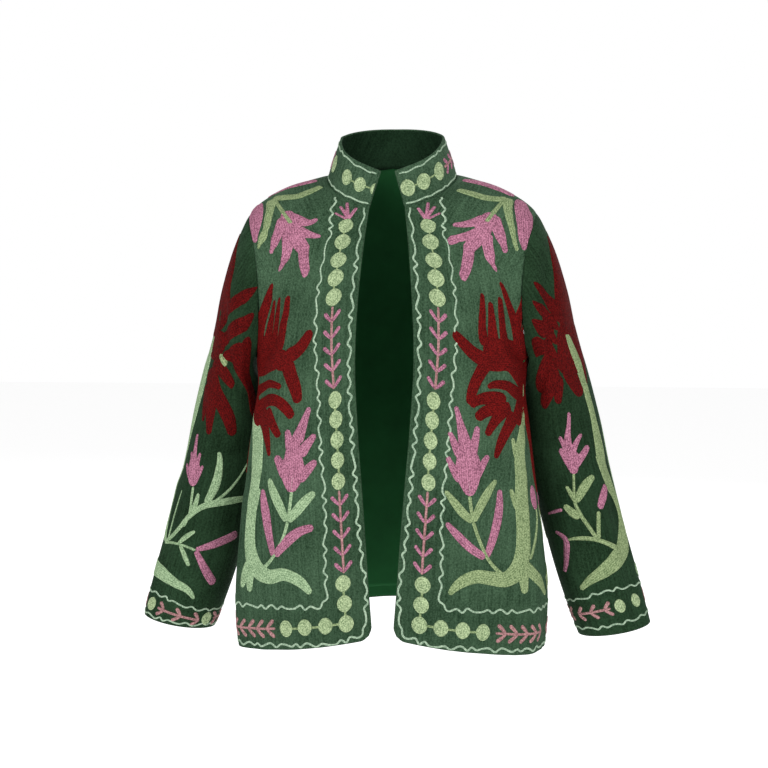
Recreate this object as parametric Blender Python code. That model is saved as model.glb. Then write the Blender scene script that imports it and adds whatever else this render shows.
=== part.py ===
"""Suzani jacket: open-fronted velvet jacket with a stand collar, hollow as if someone stood in it.

Lengths are metres. +X is the wearer's left, -Y the front and +Z up. The origin lies midway between the two
points where the shoulder seams meet the collar, because a wearer's neck and shoulders hold the jacket there.

Every panel is a grid of cloth points. Its rows run across the cloth from one edge to the other and are
numbered upwards from the hem: the underarm is at UNDERARM_ROW and the shoulder seam at SHOULDER_ROW.
"""

import math
from collections import defaultdict, namedtuple

import bmesh
import bpy
import numpy as np

for old in list(bpy.data.objects):
    bpy.data.objects.remove(old)

# Driving sizes of the cloth
WALL = 0.0025  # velvet, its backing and the lining together
COLLAR_WALL = 0.0030  # two layers of velvet over a stiffener
LINING_WALL = 0.0010
LINING_HEM = 0.45  # share of the lowest row of the back that the lining leaves bare
SEAM_GAP = 0.0003  # between two panels, and between the back and its lining
LONGEST_MITRE = 1.3  # how far a wall may reach inwards at a sharp seam, in wall thicknesses
SAME_PLACE = 0.00005  # points of two panels nearer than this are one point of their seam
WELD = 0.00001  # points of two halves nearer than this are welded
ROW_SAMPLES = 121  # points that a row's curve is measured by

# Numbers of rows and columns in the panels
UNDERARM_ROW = 11
FRONT_NECK_ROW = 18
BACK_NECK_ROW = 20
SHOULDER_ROW = 24
PANEL_COLUMNS = 14
ROWS = np.arange(SHOULDER_ROW + 1.0)
SLEEVE_RINGS = 16
COLLAR_ROWS = 4

# An edge of a panel at one row: its place, and how the cloth crosses it. turn is the heading in plan, 0
# for straight to the side and 90 for straight back, climb is its slope, and pull is how long the
# cloth keeps that heading, as a share of the row's straight length.
Edge = namedtuple("Edge", "row x y z turn climb pull")

SHOULDER_NECK = Edge(SHOULDER_ROW, 0.089, 0.000, 0.002, 0, -9, 1.1)
SHOULDER_TIP = Edge(SHOULDER_ROW, 0.199, 0.005, -0.050, 2, -54, 0.8)
UNDERARM = Edge(UNDERARM_ROW, 0.190, 0.001, -0.250, 90, 0, 0.9)

FRONT_EDGE = [
    Edge(0.0, 0.0145, -0.155, -0.612, 4, -14, 1.1),
    Edge(2.0, 0.0195, -0.154, -0.548, 4, -5, 1.1),
    Edge(4.0, 0.0240, -0.152, -0.483, 5, -2, 1.1),
    Edge(6.0, 0.0290, -0.147, -0.418, 6, 0, 1.1),
    Edge(8.5, 0.0355, -0.140, -0.337, 8, 0, 1.1),
    Edge(11.0, 0.0400, -0.131, -0.255, 10, 0, 1.1),
    Edge(14.5, 0.0360, -0.118, -0.150, 6, -12, 1.1),
    Edge(18.0, 0.0245, -0.088, -0.040, 0, -32, 1.0),
]
FRONT_NECK = [
    FRONT_EDGE[-1],
    Edge(19.7, 0.058, -0.074, -0.029, -3, -29, 1.0),
    Edge(21.9, 0.083, -0.041, -0.012, -6, -21, 1.0),
    SHOULDER_NECK,
]
CENTRE_BACK = [
    Edge(0.0, 0.0, 0.130, -0.612, 0, 0, 1.1),
    Edge(4.0, 0.0, 0.128, -0.477, 0, 0, 1.1),
    Edge(8.0, 0.0, 0.120, -0.341, 0, 0, 1.1),
    Edge(11.0, 0.0, 0.124, -0.240, 0, 0, 1.1),
    Edge(15.0, 0.0, 0.120, -0.130, 2, -8, 1.1),
    Edge(18.0, 0.0, 0.093, -0.045, 10, -22, 1.0),
    Edge(20.0, 0.0, 0.067, 0.014, 18, -36, 1.0),
]
BACK_NECK = [
    CENTRE_BACK[-1],
    Edge(21.5, 0.045, 0.060, 0.012, 14, -36, 1.0),
    Edge(22.8, 0.076, 0.035, 0.007, 10, -26, 1.0),
    SHOULDER_NECK,
]
SIDE_SEAM = [
    Edge(0.0, 0.2125, -0.045, -0.644, 78, 0, 1.1),
    Edge(2.0, 0.2165, -0.041, -0.572, 80, 0, 1.1),
    Edge(4.0, 0.2105, -0.037, -0.501, 84, 0, 1.1),
    Edge(6.0, 0.2015, -0.033, -0.429, 92, 0, 1.1),
    Edge(8.5, 0.1895, -0.027, -0.340, 100, 0, 1.1),
    Edge(10.0, 0.1840, -0.012, -0.286, 96, 0, 1.0),
    UNDERARM,
]
# The armhole in rows, up its front to the shoulder and on down its back, with a row beyond each end
ARMHOLE = [
    Edge(9.8, 0.186, 0.024, -0.243, 116, 0, 1.1),
    UNDERARM,
    Edge(12.2, 0.1865, -0.023, -0.243, 62, 0, 1.1),
    Edge(14.5, 0.181, -0.045, -0.200, 42, 0, 1.0),
    Edge(17.5, 0.180, -0.060, -0.145, 28, -16, 1.0),
    Edge(20.0, 0.186, -0.054, -0.095, 20, -34, 0.9),
    Edge(22.3, 0.196, -0.026, -0.061, 10, -46, 0.8),
    SHOULDER_TIP,
    Edge(25.7, 0.196, 0.036, -0.061, -6, -46, 0.8),
    Edge(28.0, 0.187, 0.061, -0.095, -16, -34, 0.9),
    Edge(30.5, 0.180, 0.071, -0.145, -26, -16, 1.0),
    Edge(33.5, 0.180, 0.054, -0.200, -42, 0, 1.0),
    Edge(35.8, 0.186, 0.024, -0.243, -64, 0, 1.1),
    UNDERARM._replace(row=2 * SHOULDER_ROW - UNDERARM_ROW, turn=UNDERARM.turn - 180),
    Edge(38.2, 0.1865, -0.023, -0.243, -118, 0, 1.1),
]

# A section of the sleeve: the points on its upper and lower lines, its middle's depth and half its depth
Ring = namedtuple("Ring", "at outer_x outer_z inner_x inner_z middle_y half_depth")
SLEEVE = [
    Ring(0.0, 0.1990, -0.050, 0.1900, -0.250, 0.005, 0.066),
    Ring(1.2, 0.2185, -0.090, 0.1950, -0.262, 0.010, 0.068),
    Ring(3.0, 0.2395, -0.153, 0.1955, -0.285, 0.020, 0.068),
    Ring(4.7, 0.2540, -0.215, 0.1930, -0.312, 0.030, 0.067),
    Ring(6.1, 0.2695, -0.265, 0.1910, -0.341, 0.037, 0.065),
    Ring(7.8, 0.2855, -0.325, 0.1915, -0.376, 0.043, 0.064),
    Ring(9.9, 0.3015, -0.400, 0.1965, -0.425, 0.048, 0.062),
    Ring(12.1, 0.3220, -0.480, 0.2135, -0.500, 0.050, 0.058),
    Ring(14.2, 0.3440, -0.557, 0.2355, -0.574, 0.046, 0.054),
    Ring(16.0, 0.3620, -0.623, 0.2605, -0.641, 0.040, 0.050),
]
ARMHOLE_FADE = 4.0  # rings over which the sleeve leaves the armhole's outline

# The collar above a point of the neck seam: share of the way from the front edge to the centre back,
# its height, and how far it leans towards the neck
Stand = namedtuple("Stand", "share height lean")
COLLAR = [
    Stand(0.00, 0.046, 0.012),
    Stand(0.25, 0.050, 0.016),
    Stand(0.60, 0.052, 0.017),
    Stand(1.00, 0.052, 0.006),
]
COLLAR_FRONT_SLANT = 0.006  # how much nearer the collar's front edges come at the rim
COLLAR_SLANT_SHARE = 0.3  # how far round the collar that slant dies out

# A soft fold: its two ends as row and share of the way across, half its width, and its height outwards
Fold = namedtuple("Fold", "row0 across0 row1 across1 half_width height")
FRONT_LEFT_FOLDS = [
    Fold(16.5, 0.80, 9.0, 0.62, 0.016, 0.0035),
    Fold(15.0, 0.95, 8.5, 0.84, 0.015, -0.0035),
    Fold(5.0, 0.86, 0.0, 0.80, 0.020, 0.0045),
    Fold(6.0, 0.60, 0.0, 0.50, 0.022, -0.0030),
]
FRONT_RIGHT_FOLDS = [
    Fold(16.0, 0.86, 8.0, 0.74, 0.016, -0.0035),
    Fold(14.0, 0.66, 8.0, 0.56, 0.018, 0.0030),
    Fold(5.5, 0.84, 0.0, 0.88, 0.020, 0.0045),
    Fold(5.0, 0.62, 0.0, 0.58, 0.022, -0.0030),
]
BACK_LEFT_FOLDS = [
    Fold(17.0, 0.84, 9.0, 0.66, 0.018, 0.0045),
    Fold(14.0, 0.92, 7.0, 0.80, 0.016, -0.0040),
    Fold(9.0, 0.36, 0.0, 0.42, 0.024, -0.0055),
    Fold(8.0, 0.64, 0.0, 0.70, 0.022, 0.0055),
    Fold(5.0, 0.86, 0.0, 0.90, 0.016, -0.0040),
]
BACK_RIGHT_FOLDS = [
    Fold(17.5, 0.80, 9.5, 0.70, 0.018, 0.0040),
    Fold(13.5, 0.93, 7.5, 0.82, 0.016, -0.0045),
    Fold(10.0, 0.32, 0.0, 0.30, 0.024, 0.0050),
    Fold(8.5, 0.58, 0.0, 0.62, 0.022, -0.0055),
    Fold(6.0, 0.82, 0.0, 0.84, 0.018, 0.0045),
]
# On a sleeve the row is its ring, and the share goes round from the upper line by way of the front
SLEEVE_LEFT_FOLDS = [
    Fold(1.5, 0.12, 4.6, 0.34, 0.016, -0.0045),
    Fold(3.0, 0.40, 7.0, 0.22, 0.018, 0.0040),
    Fold(7.0, 0.44, 9.5, 0.20, 0.016, -0.0040),
    Fold(10.0, 0.06, 15.5, 0.12, 0.016, -0.0035),
    Fold(2.0, 0.84, 6.0, 0.66, 0.018, -0.0045),
    Fold(8.0, 0.60, 11.0, 0.84, 0.018, 0.0040),
]
SLEEVE_RIGHT_FOLDS = [
    Fold(3.2, 0.14, 4.8, 0.30, 0.015, -0.0050),
    Fold(4.4, 0.34, 6.6, 0.18, 0.016, 0.0040),
    Fold(8.0, 0.42, 10.2, 0.16, 0.016, -0.0040),
    Fold(11.0, 0.04, 15.5, 0.08, 0.016, 0.0035),
    Fold(2.4, 0.82, 6.4, 0.68, 0.018, -0.0045),
    Fold(8.6, 0.62, 11.6, 0.86, 0.018, 0.0040),
]
ROW_PITCH = 0.034  # a row's height along the cloth, for measuring folds
PANEL_WIDTH = 0.240
SLEEVE_GIRTH = 0.400
# Folds die out before a seam: shares of a row by its ends, rows below a shoulder, rings from an armhole
FADE_SHARE = 0.15
FADE_ROWS = 3.0
FADE_RINGS = 2.0
FRONT_NECK_FADE = 2  # rows below the neck where the front edge's folds end

# Colours of the cloth, as linear red, green and blue
VELVET_GREEN = (0.030, 0.085, 0.042, 1.0)
LINING_GREEN = (0.012, 0.036, 0.017, 1.0)


def smooth(share):
    """0 to 1 in a soft step."""
    share = np.clip(share, 0.0, 1.0)
    return share * share * (3.0 - 2.0 * share)


def read_curve(table, at):
    """Every column of a table at places along its first one, on a smooth curve through its rows."""
    known = np.array(table, float)
    places = known[:, 0]
    slopes = np.gradient(known, places, axis=0, edge_order=min(2, len(known) - 1))
    at = np.clip(np.asarray(at, float), places[0], places[-1])
    low = np.clip(np.searchsorted(places, at, side="right") - 1, 0, len(places) - 2)
    step = (places[low + 1] - places[low])[:, None]
    t = (at - places[low])[:, None] / step
    return (
        (2 * t**3 - 3 * t**2 + 1) * known[low]
        + (t**3 - 2 * t**2 + t) * step * slopes[low]
        + (3 * t**2 - 2 * t**3) * known[low + 1]
        + (t**3 - t**2) * step * slopes[low + 1]
    )


def read_edge(lower, upper, rows, down=False):
    """An edge at each row, with a corner between its two stretches; down reads the upper one backwards."""
    corner = lower[-1].row
    below = read_curve(lower, rows[rows <= corner])
    rest = rows[rows > corner]
    above = read_curve(upper, 2 * SHOULDER_ROW - rest if down else rest)
    return np.concatenate([below, above])


def turned(edges):
    """The same edge as the cloth on its other side reaches it."""
    return [edge._replace(turn=edge.turn - 180, climb=-edge.climb) for edge in edges]


def heading(edge):
    turn, climb = np.radians(edge[4]), np.radians(edge[5])
    return np.array([math.cos(turn) * math.cos(climb), math.sin(turn) * math.cos(climb), math.sin(climb)])


def cloth_row(start, finish, columns):
    """Points evenly spaced along the cloth between two edges, leaving each at its own heading."""
    begin, end = start[1:4], finish[1:4]
    length = np.linalg.norm(end - begin)
    leaving = heading(start) * start[6] * length
    arriving = heading(finish) * finish[6] * length
    t = np.linspace(0.0, 1.0, ROW_SAMPLES)[:, None]
    curve = (
        (2 * t**3 - 3 * t**2 + 1) * begin
        + (t**3 - 2 * t**2 + t) * leaving
        + (3 * t**2 - 2 * t**3) * end
        + (t**3 - t**2) * arriving
    )
    run = np.concatenate([[0.0], np.cumsum(np.linalg.norm(np.diff(curve, axis=0), axis=1))])
    stops = np.linspace(0.0, run[-1], columns + 1)
    return np.stack([np.interp(stops, run, curve[:, axis]) for axis in range(3)], axis=1)


def grid_normals(grid, closed, outward):
    """Directions out of the cloth; closed joins each row's ends, and outward is the side they face."""
    if closed:
        across = np.roll(grid, -1, axis=1) - np.roll(grid, 1, axis=1)
    else:
        across = np.gradient(grid, axis=1)
    up = np.gradient(grid, axis=0)
    normals = np.cross(across, up) * outward
    return normals / np.linalg.norm(normals, axis=2, keepdims=True)


def fold_heights(folds, rows, shares, width, closed):
    """How far the folds lift each point of a grid; closed lets a fold pass a row's joined ends."""
    row, share = np.meshgrid(rows, shares, indexing="ij")
    total = np.zeros_like(row)
    for fold in folds:
        offset = share - fold.across0
        if closed:
            offset = (offset + 0.5) % 1.0 - 0.5
        run = np.array([(fold.row1 - fold.row0) * ROW_PITCH, (fold.across1 - fold.across0) * width])
        length = np.linalg.norm(run)
        run /= length
        place = (row - fold.row0) * ROW_PITCH * run[0] + offset * width * run[1]
        aside = (row - fold.row0) * ROW_PITCH * run[1] - offset * width * run[0]
        ends = np.exp(-((np.clip(np.abs(place - length / 2) - length / 2, 0.0, None) / fold.half_width) ** 2))
        total += fold.height * ends * np.exp(-((aside / fold.half_width) ** 2))
    return total


def body_panel(starts, ends, folds, free_inner_rows):
    """The left half of a body panel. Folds die out at every seam, but not below free_inner_rows inside."""
    grid = np.array([cloth_row(start, end, PANEL_COLUMNS) for start, end in zip(starts, ends)])
    shares = np.linspace(0.0, 1.0, PANEL_COLUMNS + 1)
    row, share = np.meshgrid(ROWS, shares, indexing="ij")
    at_inner = np.maximum(smooth(share / FADE_SHARE), smooth(free_inner_rows - row))
    fade = smooth((1.0 - share) / FADE_SHARE) * smooth((SHOULDER_ROW - row) / FADE_ROWS) * at_inner
    lift = fold_heights(folds, ROWS, shares, PANEL_WIDTH, False) * fade
    return grid, lift


def armhole(front, back):
    """The armhole's points round from the shoulder by way of the front and the underarm."""
    down = front[UNDERARM_ROW:, -1][::-1]
    up = back[UNDERARM_ROW:, -1][1:-1]
    return np.concatenate([down, up])


def sleeve_grid(hole, folds):
    """The left sleeve's rings, from the armhole's own points to the cuff."""
    rings = np.linspace(0.0, SLEEVE_RINGS, SLEEVE_RINGS + 1)
    shares = np.arange(len(hole)) / len(hole)
    angle = 2.0 * math.pi * shares
    table = read_curve(SLEEVE, rings)
    grid = []
    for _, outer_x, outer_z, inner_x, inner_z, middle_y, half_depth in table:
        middle = np.array([(outer_x + inner_x) / 2, middle_y, (outer_z + inner_z) / 2])
        up = np.array([outer_x - inner_x, 0.0, outer_z - inner_z]) / 2
        forward = np.array([0.0, -half_depth, 0.0])
        grid.append(middle + np.outer(np.cos(angle), up) + np.outer(np.sin(angle), forward))
    grid = np.array(grid)
    leave = (1.0 - smooth(rings / ARMHOLE_FADE))[:, None, None]
    grid += leave * (hole - grid[0])
    lift = fold_heights(folds, rings, shares, SLEEVE_GIRTH, True) * smooth(rings / FADE_RINGS)[:, None]
    return grid, lift


def collar_grid(front, back):
    """The collar's left half, from the front edge round to the centre back, on the neck seam's points."""
    seam = np.concatenate([front[FRONT_NECK_ROW:, 0], back[BACK_NECK_ROW:, 0][::-1][1:]])
    run = np.concatenate([[0.0], np.cumsum(np.linalg.norm(np.diff(seam, axis=0), axis=1))])
    shares = run / run[-1]
    _, height, lean = read_curve(COLLAR, shares).T
    along = np.gradient(seam, axis=0)
    inward = np.stack([-along[:, 1], along[:, 0], np.zeros(len(seam))], axis=1)
    inward /= np.linalg.norm(inward, axis=1, keepdims=True)
    inward[-1] = (0.0, -1.0, 0.0)
    rows = []
    for share in np.linspace(0.0, 1.0, COLLAR_ROWS + 1):
        row = seam + inward * (lean * share)[:, None]
        row[:, 2] += height * share
        row[:, 0] -= COLLAR_FRONT_SLANT * share * (1.0 - smooth(shares / COLLAR_SLANT_SHARE))
        rows.append(row)
    return np.array(rows)


def mirrored(grid):
    """The same grid on the wearer's right."""
    return grid * np.array([-1.0, 1.0, 1.0])


def body_seams(neck_row):
    """A body panel's seams at its side, armhole, shoulder and neck: each place, and one further in."""
    last = PANEL_COLUMNS
    side = [((row, last), (row, last - 1)) for row in range(UNDERARM_ROW + 1)]
    armhole_run = [((row, last), (row, last - 1)) for row in range(UNDERARM_ROW, SHOULDER_ROW + 1)]
    shoulder = [((SHOULDER_ROW, column), (SHOULDER_ROW - 1, column)) for column in range(last + 1)]
    neck = [((row, 0), (row - 1, 1)) for row in range(neck_row, SHOULDER_ROW + 1)]
    return [side, armhole_run, shoulder, neck]


def first_row(grid):
    """The seam along the first row of a sleeve or collar."""
    return [[((0, column), (1, column)) for column in range(grid.shape[1])]]


class Panel:
    """A grid of outer points with its wall, its seams and the side of the seams that it belongs to.

    The lower joined_rows of its first column lie on the centre back, where two halves are one piece.
    """

    def __init__(self, name, shape, outward, wall, group, seams, closed=False, joined_rows=0):
        grid, lift = shape
        self.name = name
        self.wall = wall
        self.group = group
        self.seams = seams
        self.closed = closed
        self.joined_rows = joined_rows
        self.grid = grid + grid_normals(grid, closed, outward) * lift[:, :, None]
        self.normals = grid_normals(self.grid, closed, outward)
        self.normals[:joined_rows, 0, 0] = 0.0
        self.normals /= np.linalg.norm(self.normals, axis=2, keepdims=True)


def key(point):
    """A name for a place that is the same in every panel that has a point there."""
    return tuple(int(round(value / SAME_PLACE)) for value in point)


def shared_directions(panels):
    """For each point on a seam, the way out of the cloth that its panels share, times its mitre."""
    meetings = defaultdict(lambda: defaultdict(list))
    for panel in panels:
        for place in {place for seam in panel.seams for place, _ in seam}:
            meetings[key(panel.grid[place])][panel.group].append(panel.normals[place])
    shared = {}
    for point, groups in meetings.items():
        sides = [sum(found) for found in groups.values()]
        sides = [side / np.linalg.norm(side) for side in sides]
        direction = sum(sides)
        direction /= np.linalg.norm(direction)
        facing = max(np.mean([direction @ side for side in sides]), 1.0 / LONGEST_MITRE)
        shared[point] = direction / facing
    return shared


def cut_panel(panel, shared):
    """The panel's points with half a seam gap taken off its seams, and their ways out of the cloth."""
    outward = panel.normals.copy()
    moves = np.zeros_like(panel.grid)
    for seam in panel.seams:
        places, insides = [tuple(np.array(found).T) for found in zip(*seam)]
        points = panel.grid[places]
        outward[places] = [shared[key(point)] for point in points]
        if panel.closed:
            along = np.roll(points, -1, axis=0) - np.roll(points, 1, axis=0)
        else:
            along = np.gradient(points, axis=0)
        aside = np.cross(along, outward[places])
        aside /= np.linalg.norm(aside, axis=1, keepdims=True)
        side = math.copysign(1.0, np.sum(aside * (panel.grid[insides] - points)))
        moves[places] += aside * side * SEAM_GAP / 2
    points = panel.grid + moves
    points[:panel.joined_rows, 0, 0] = 0.0
    outward[:panel.joined_rows, 0, 0] = 0.0
    return points, outward


def close_edge(mesh, first, second):
    """Closes the wall between two (outer, inner) pairs, split the same way by the panel across a seam."""
    high, low = (first, second) if first[0].co.z > second[0].co.z else (second, first)
    mesh.faces.new([high[0], low[0], low[1]])
    mesh.faces.new([high[0], low[1], high[1]])


def add_wall(mesh, outer, inner, closed, joined_rows):
    """A wall between an outer and an inner grid, left open along the rows that its other half joins."""
    rows, columns = outer.shape[:2]
    top, under = [[[mesh.verts.new(point) for point in row] for row in grid] for grid in (outer, inner)]
    pairs = [list(zip(*skins)) for skins in zip(top, under)]
    last = columns if closed else columns - 1
    for row in range(rows - 1):
        for column in range(last):
            after = (column + 1) % columns
            for skin in (top, under):
                mesh.faces.new([skin[row][column], skin[row][after], skin[row + 1][column]])
                mesh.faces.new([skin[row][after], skin[row + 1][after], skin[row + 1][column]])
    for row in (0, rows - 1):
        for column in range(last):
            close_edge(mesh, pairs[row][column], pairs[row][(column + 1) % columns])
    if closed:
        return
    for column, start in ((0, max(joined_rows - 1, 0)), (columns - 1, 0)):
        for row in range(start, rows - 1):
            close_edge(mesh, pairs[row][column], pairs[row + 1][column])


def add_piece(name, walls, collection, material):
    """One object from the walls of a panel, or of its two halves."""
    mesh = bmesh.new()
    for wall in walls:
        add_wall(mesh, *wall)
    bmesh.ops.remove_doubles(mesh, verts=mesh.verts, dist=WELD)
    bmesh.ops.recalc_face_normals(mesh, faces=mesh.faces)
    data = bpy.data.meshes.new(name)
    mesh.to_mesh(data)
    mesh.free()
    data.shade_smooth()
    data.materials.append(material)
    piece = bpy.data.objects.new(name, data)
    collection.objects.link(piece)


def cloth_material(name, colour, roughness, sheen):
    material = bpy.data.materials.new(name)
    material.use_nodes = True
    finish = material.node_tree.nodes["Principled BSDF"]
    finish.inputs["Base Color"].default_value = colour
    finish.inputs["Roughness"].default_value = roughness
    finish.inputs["Metallic"].default_value = 0.0
    finish.inputs["Sheen Weight"].default_value = sheen
    material.diffuse_color = colour
    return material


def side_panels(side, front_folds, back_folds, sleeve_folds):
    """The front, half back and sleeve of one side, and that side's half of the collar."""
    front_edge = read_edge(FRONT_EDGE, FRONT_NECK, ROWS)
    front_side = read_edge(SIDE_SEAM, ARMHOLE, ROWS)
    centre_back = read_edge(CENTRE_BACK, BACK_NECK, ROWS)
    back_side = read_edge(turned(SIDE_SEAM), ARMHOLE, ROWS, down=True)
    front = body_panel(front_edge, front_side, front_folds, FRONT_NECK_ROW - FRONT_NECK_FADE)
    back = body_panel(centre_back, back_side, back_folds, 0)
    sleeve = sleeve_grid(armhole(front[0], back[0]), sleeve_folds)
    collar = collar_grid(front[0], back[0])
    outward = 1
    if side == "right":
        front, back, sleeve = [(mirrored(grid), lift) for grid, lift in (front, back, sleeve)]
        collar = mirrored(collar)
        outward = -1
    panels = [
        Panel("front_" + side, front, outward, WALL, "body", body_seams(FRONT_NECK_ROW)),
        Panel("back", back, -outward, WALL, "body", body_seams(BACK_NECK_ROW), joined_rows=BACK_NECK_ROW + 1),
        Panel("sleeve_" + side, sleeve, outward, WALL, "sleeve", first_row(sleeve[0]), closed=True),
    ]
    return panels, collar


def lining_wall(panel, inner):
    """The back's lining, just inside the panel's inner points and a little short of its hem."""
    points, outward = inner.copy(), panel.normals.copy()
    for grid in (points, outward):
        grid[0] = grid[0] * (1 - LINING_HEM) + grid[1] * LINING_HEM
    return points - outward * SEAM_GAP, points - outward * (SEAM_GAP + LINING_WALL), False, panel.joined_rows


def main():
    collection = bpy.data.collections.new("suzani_jacket")
    bpy.context.scene.collection.children.link(collection)

    left, left_collar = side_panels("left", FRONT_LEFT_FOLDS, BACK_LEFT_FOLDS, SLEEVE_LEFT_FOLDS)
    right, right_collar = side_panels("right", FRONT_RIGHT_FOLDS, BACK_RIGHT_FOLDS, SLEEVE_RIGHT_FOLDS)
    collar = np.concatenate([left_collar, right_collar[:, ::-1][:, 1:]], axis=1)
    collar = collar, np.zeros(collar.shape[:2])
    panels = left + right + [Panel("collar", collar, 1, COLLAR_WALL, "collar", first_row(collar[0]))]

    shared = shared_directions(panels)
    walls = defaultdict(list)
    for panel in panels:
        points, outward = cut_panel(panel, shared)
        inner = points - outward * panel.wall
        walls[panel.name].append((points, inner, panel.closed, panel.joined_rows))
        if panel.name == "back":
            walls["lining_back"].append(lining_wall(panel, inner))

    for name, parts in walls.items():
        if name == "lining_back":
            material = cloth_material(name + "_cloth", LINING_GREEN, 0.70, 0.1)
        else:
            material = cloth_material(name + "_velvet", VELVET_GREEN, 0.85, 0.6)
        add_piece(name, parts, collection, material)


main()
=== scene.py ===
# %% [markdown]
# # A suzani jacket in green velvet
# This lesson dresses a jacket that is already measured and cut as plain solids. The real jacket is cotton
# velvet, chain-stitched with flowers before its pieces are sewn together. We load the solids as a frame,
# repeat the rules that shaped them, and lay fine cloth, creases and stitches on exactly the same form.

# %% Load the frame
import bpy
import bmesh
import math
import numpy as np
from collections import namedtuple
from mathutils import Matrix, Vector


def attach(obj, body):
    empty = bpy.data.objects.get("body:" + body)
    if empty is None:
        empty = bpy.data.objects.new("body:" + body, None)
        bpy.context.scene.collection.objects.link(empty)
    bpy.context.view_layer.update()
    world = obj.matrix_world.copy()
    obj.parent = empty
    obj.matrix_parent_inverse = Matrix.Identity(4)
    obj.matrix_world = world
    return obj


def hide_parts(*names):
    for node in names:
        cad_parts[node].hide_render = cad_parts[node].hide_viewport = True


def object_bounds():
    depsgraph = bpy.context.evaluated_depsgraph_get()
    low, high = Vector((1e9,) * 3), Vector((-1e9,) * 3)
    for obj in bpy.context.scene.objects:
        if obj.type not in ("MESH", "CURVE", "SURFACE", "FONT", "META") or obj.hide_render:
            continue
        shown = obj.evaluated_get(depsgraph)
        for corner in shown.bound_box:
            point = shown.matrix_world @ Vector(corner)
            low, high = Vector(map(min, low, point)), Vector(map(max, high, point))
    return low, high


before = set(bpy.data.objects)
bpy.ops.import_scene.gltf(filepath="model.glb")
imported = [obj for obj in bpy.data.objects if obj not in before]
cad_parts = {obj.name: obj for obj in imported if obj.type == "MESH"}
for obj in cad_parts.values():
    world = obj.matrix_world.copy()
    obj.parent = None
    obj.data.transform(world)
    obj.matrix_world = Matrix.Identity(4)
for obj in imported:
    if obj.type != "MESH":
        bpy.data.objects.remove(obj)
solid_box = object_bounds()
print("frame nodes:", sorted(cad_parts))

# %% [markdown]
# ## The sizes of the cloth
# A pattern cutter writes down where each edge of a panel runs. Our tables do the same in three dimensions:
# each line says where an edge lies at one row of the cloth, which way the cloth leaves it, and how long it
# keeps that way. Rows are numbered upwards from the hem. Lengths are metres, -Y is the front and +Z is up.

# %% Sizes and edges of the panels
WALL = 0.0025
COLLAR_WALL = 0.0030
LINING_WALL = 0.0010
LINING_HEM = 0.45  # how much of a row of cloth the lining's hem lies above the velvet's
LINING_HEM_ROWS = 3.0  # how many rows up that shift dies out
UNDERARM_ROW = 11
FRONT_NECK_ROW = 18
BACK_NECK_ROW = 20
SHOULDER_ROW = 24
SLEEVE_RINGS = 16
ROW_SAMPLES = 121

Edge = namedtuple("Edge", "row x y z turn climb pull")
SHOULDER_NECK = Edge(SHOULDER_ROW, 0.089, 0.000, 0.002, 0, -9, 1.1)
SHOULDER_TIP = Edge(SHOULDER_ROW, 0.199, 0.005, -0.050, 2, -54, 0.8)
UNDERARM = Edge(UNDERARM_ROW, 0.190, 0.001, -0.250, 90, 0, 0.9)
FRONT_EDGE = [
    Edge(0.0, 0.0145, -0.155, -0.612, 4, -14, 1.1),
    Edge(2.0, 0.0195, -0.154, -0.548, 4, -5, 1.1),
    Edge(4.0, 0.0240, -0.152, -0.483, 5, -2, 1.1),
    Edge(6.0, 0.0290, -0.147, -0.418, 6, 0, 1.1),
    Edge(8.5, 0.0355, -0.140, -0.337, 8, 0, 1.1),
    Edge(11.0, 0.0400, -0.131, -0.255, 10, 0, 1.1),
    Edge(14.5, 0.0360, -0.118, -0.150, 6, -12, 1.1),
    Edge(18.0, 0.0245, -0.088, -0.040, 0, -32, 1.0),
]
FRONT_NECK = [
    FRONT_EDGE[-1],
    Edge(19.7, 0.058, -0.074, -0.029, -3, -29, 1.0),
    Edge(21.9, 0.083, -0.041, -0.012, -6, -21, 1.0),
    SHOULDER_NECK,
]
CENTRE_BACK = [
    Edge(0.0, 0.0, 0.130, -0.612, 0, 0, 1.1),
    Edge(4.0, 0.0, 0.128, -0.477, 0, 0, 1.1),
    Edge(8.0, 0.0, 0.120, -0.341, 0, 0, 1.1),
    Edge(11.0, 0.0, 0.124, -0.240, 0, 0, 1.1),
    Edge(15.0, 0.0, 0.120, -0.130, 2, -8, 1.1),
    Edge(18.0, 0.0, 0.093, -0.045, 10, -22, 1.0),
    Edge(20.0, 0.0, 0.067, 0.014, 18, -36, 1.0),
]
BACK_NECK = [
    CENTRE_BACK[-1],
    Edge(21.5, 0.045, 0.060, 0.012, 14, -36, 1.0),
    Edge(22.8, 0.076, 0.035, 0.007, 10, -26, 1.0),
    SHOULDER_NECK,
]
SIDE_SEAM = [
    Edge(0.0, 0.2125, -0.045, -0.644, 78, 0, 1.1),
    Edge(2.0, 0.2165, -0.041, -0.572, 80, 0, 1.1),
    Edge(4.0, 0.2105, -0.037, -0.501, 84, 0, 1.1),
    Edge(6.0, 0.2015, -0.033, -0.429, 92, 0, 1.1),
    Edge(8.5, 0.1895, -0.027, -0.340, 100, 0, 1.1),
    Edge(10.0, 0.1840, -0.012, -0.286, 96, 0, 1.0),
    UNDERARM,
]
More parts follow.
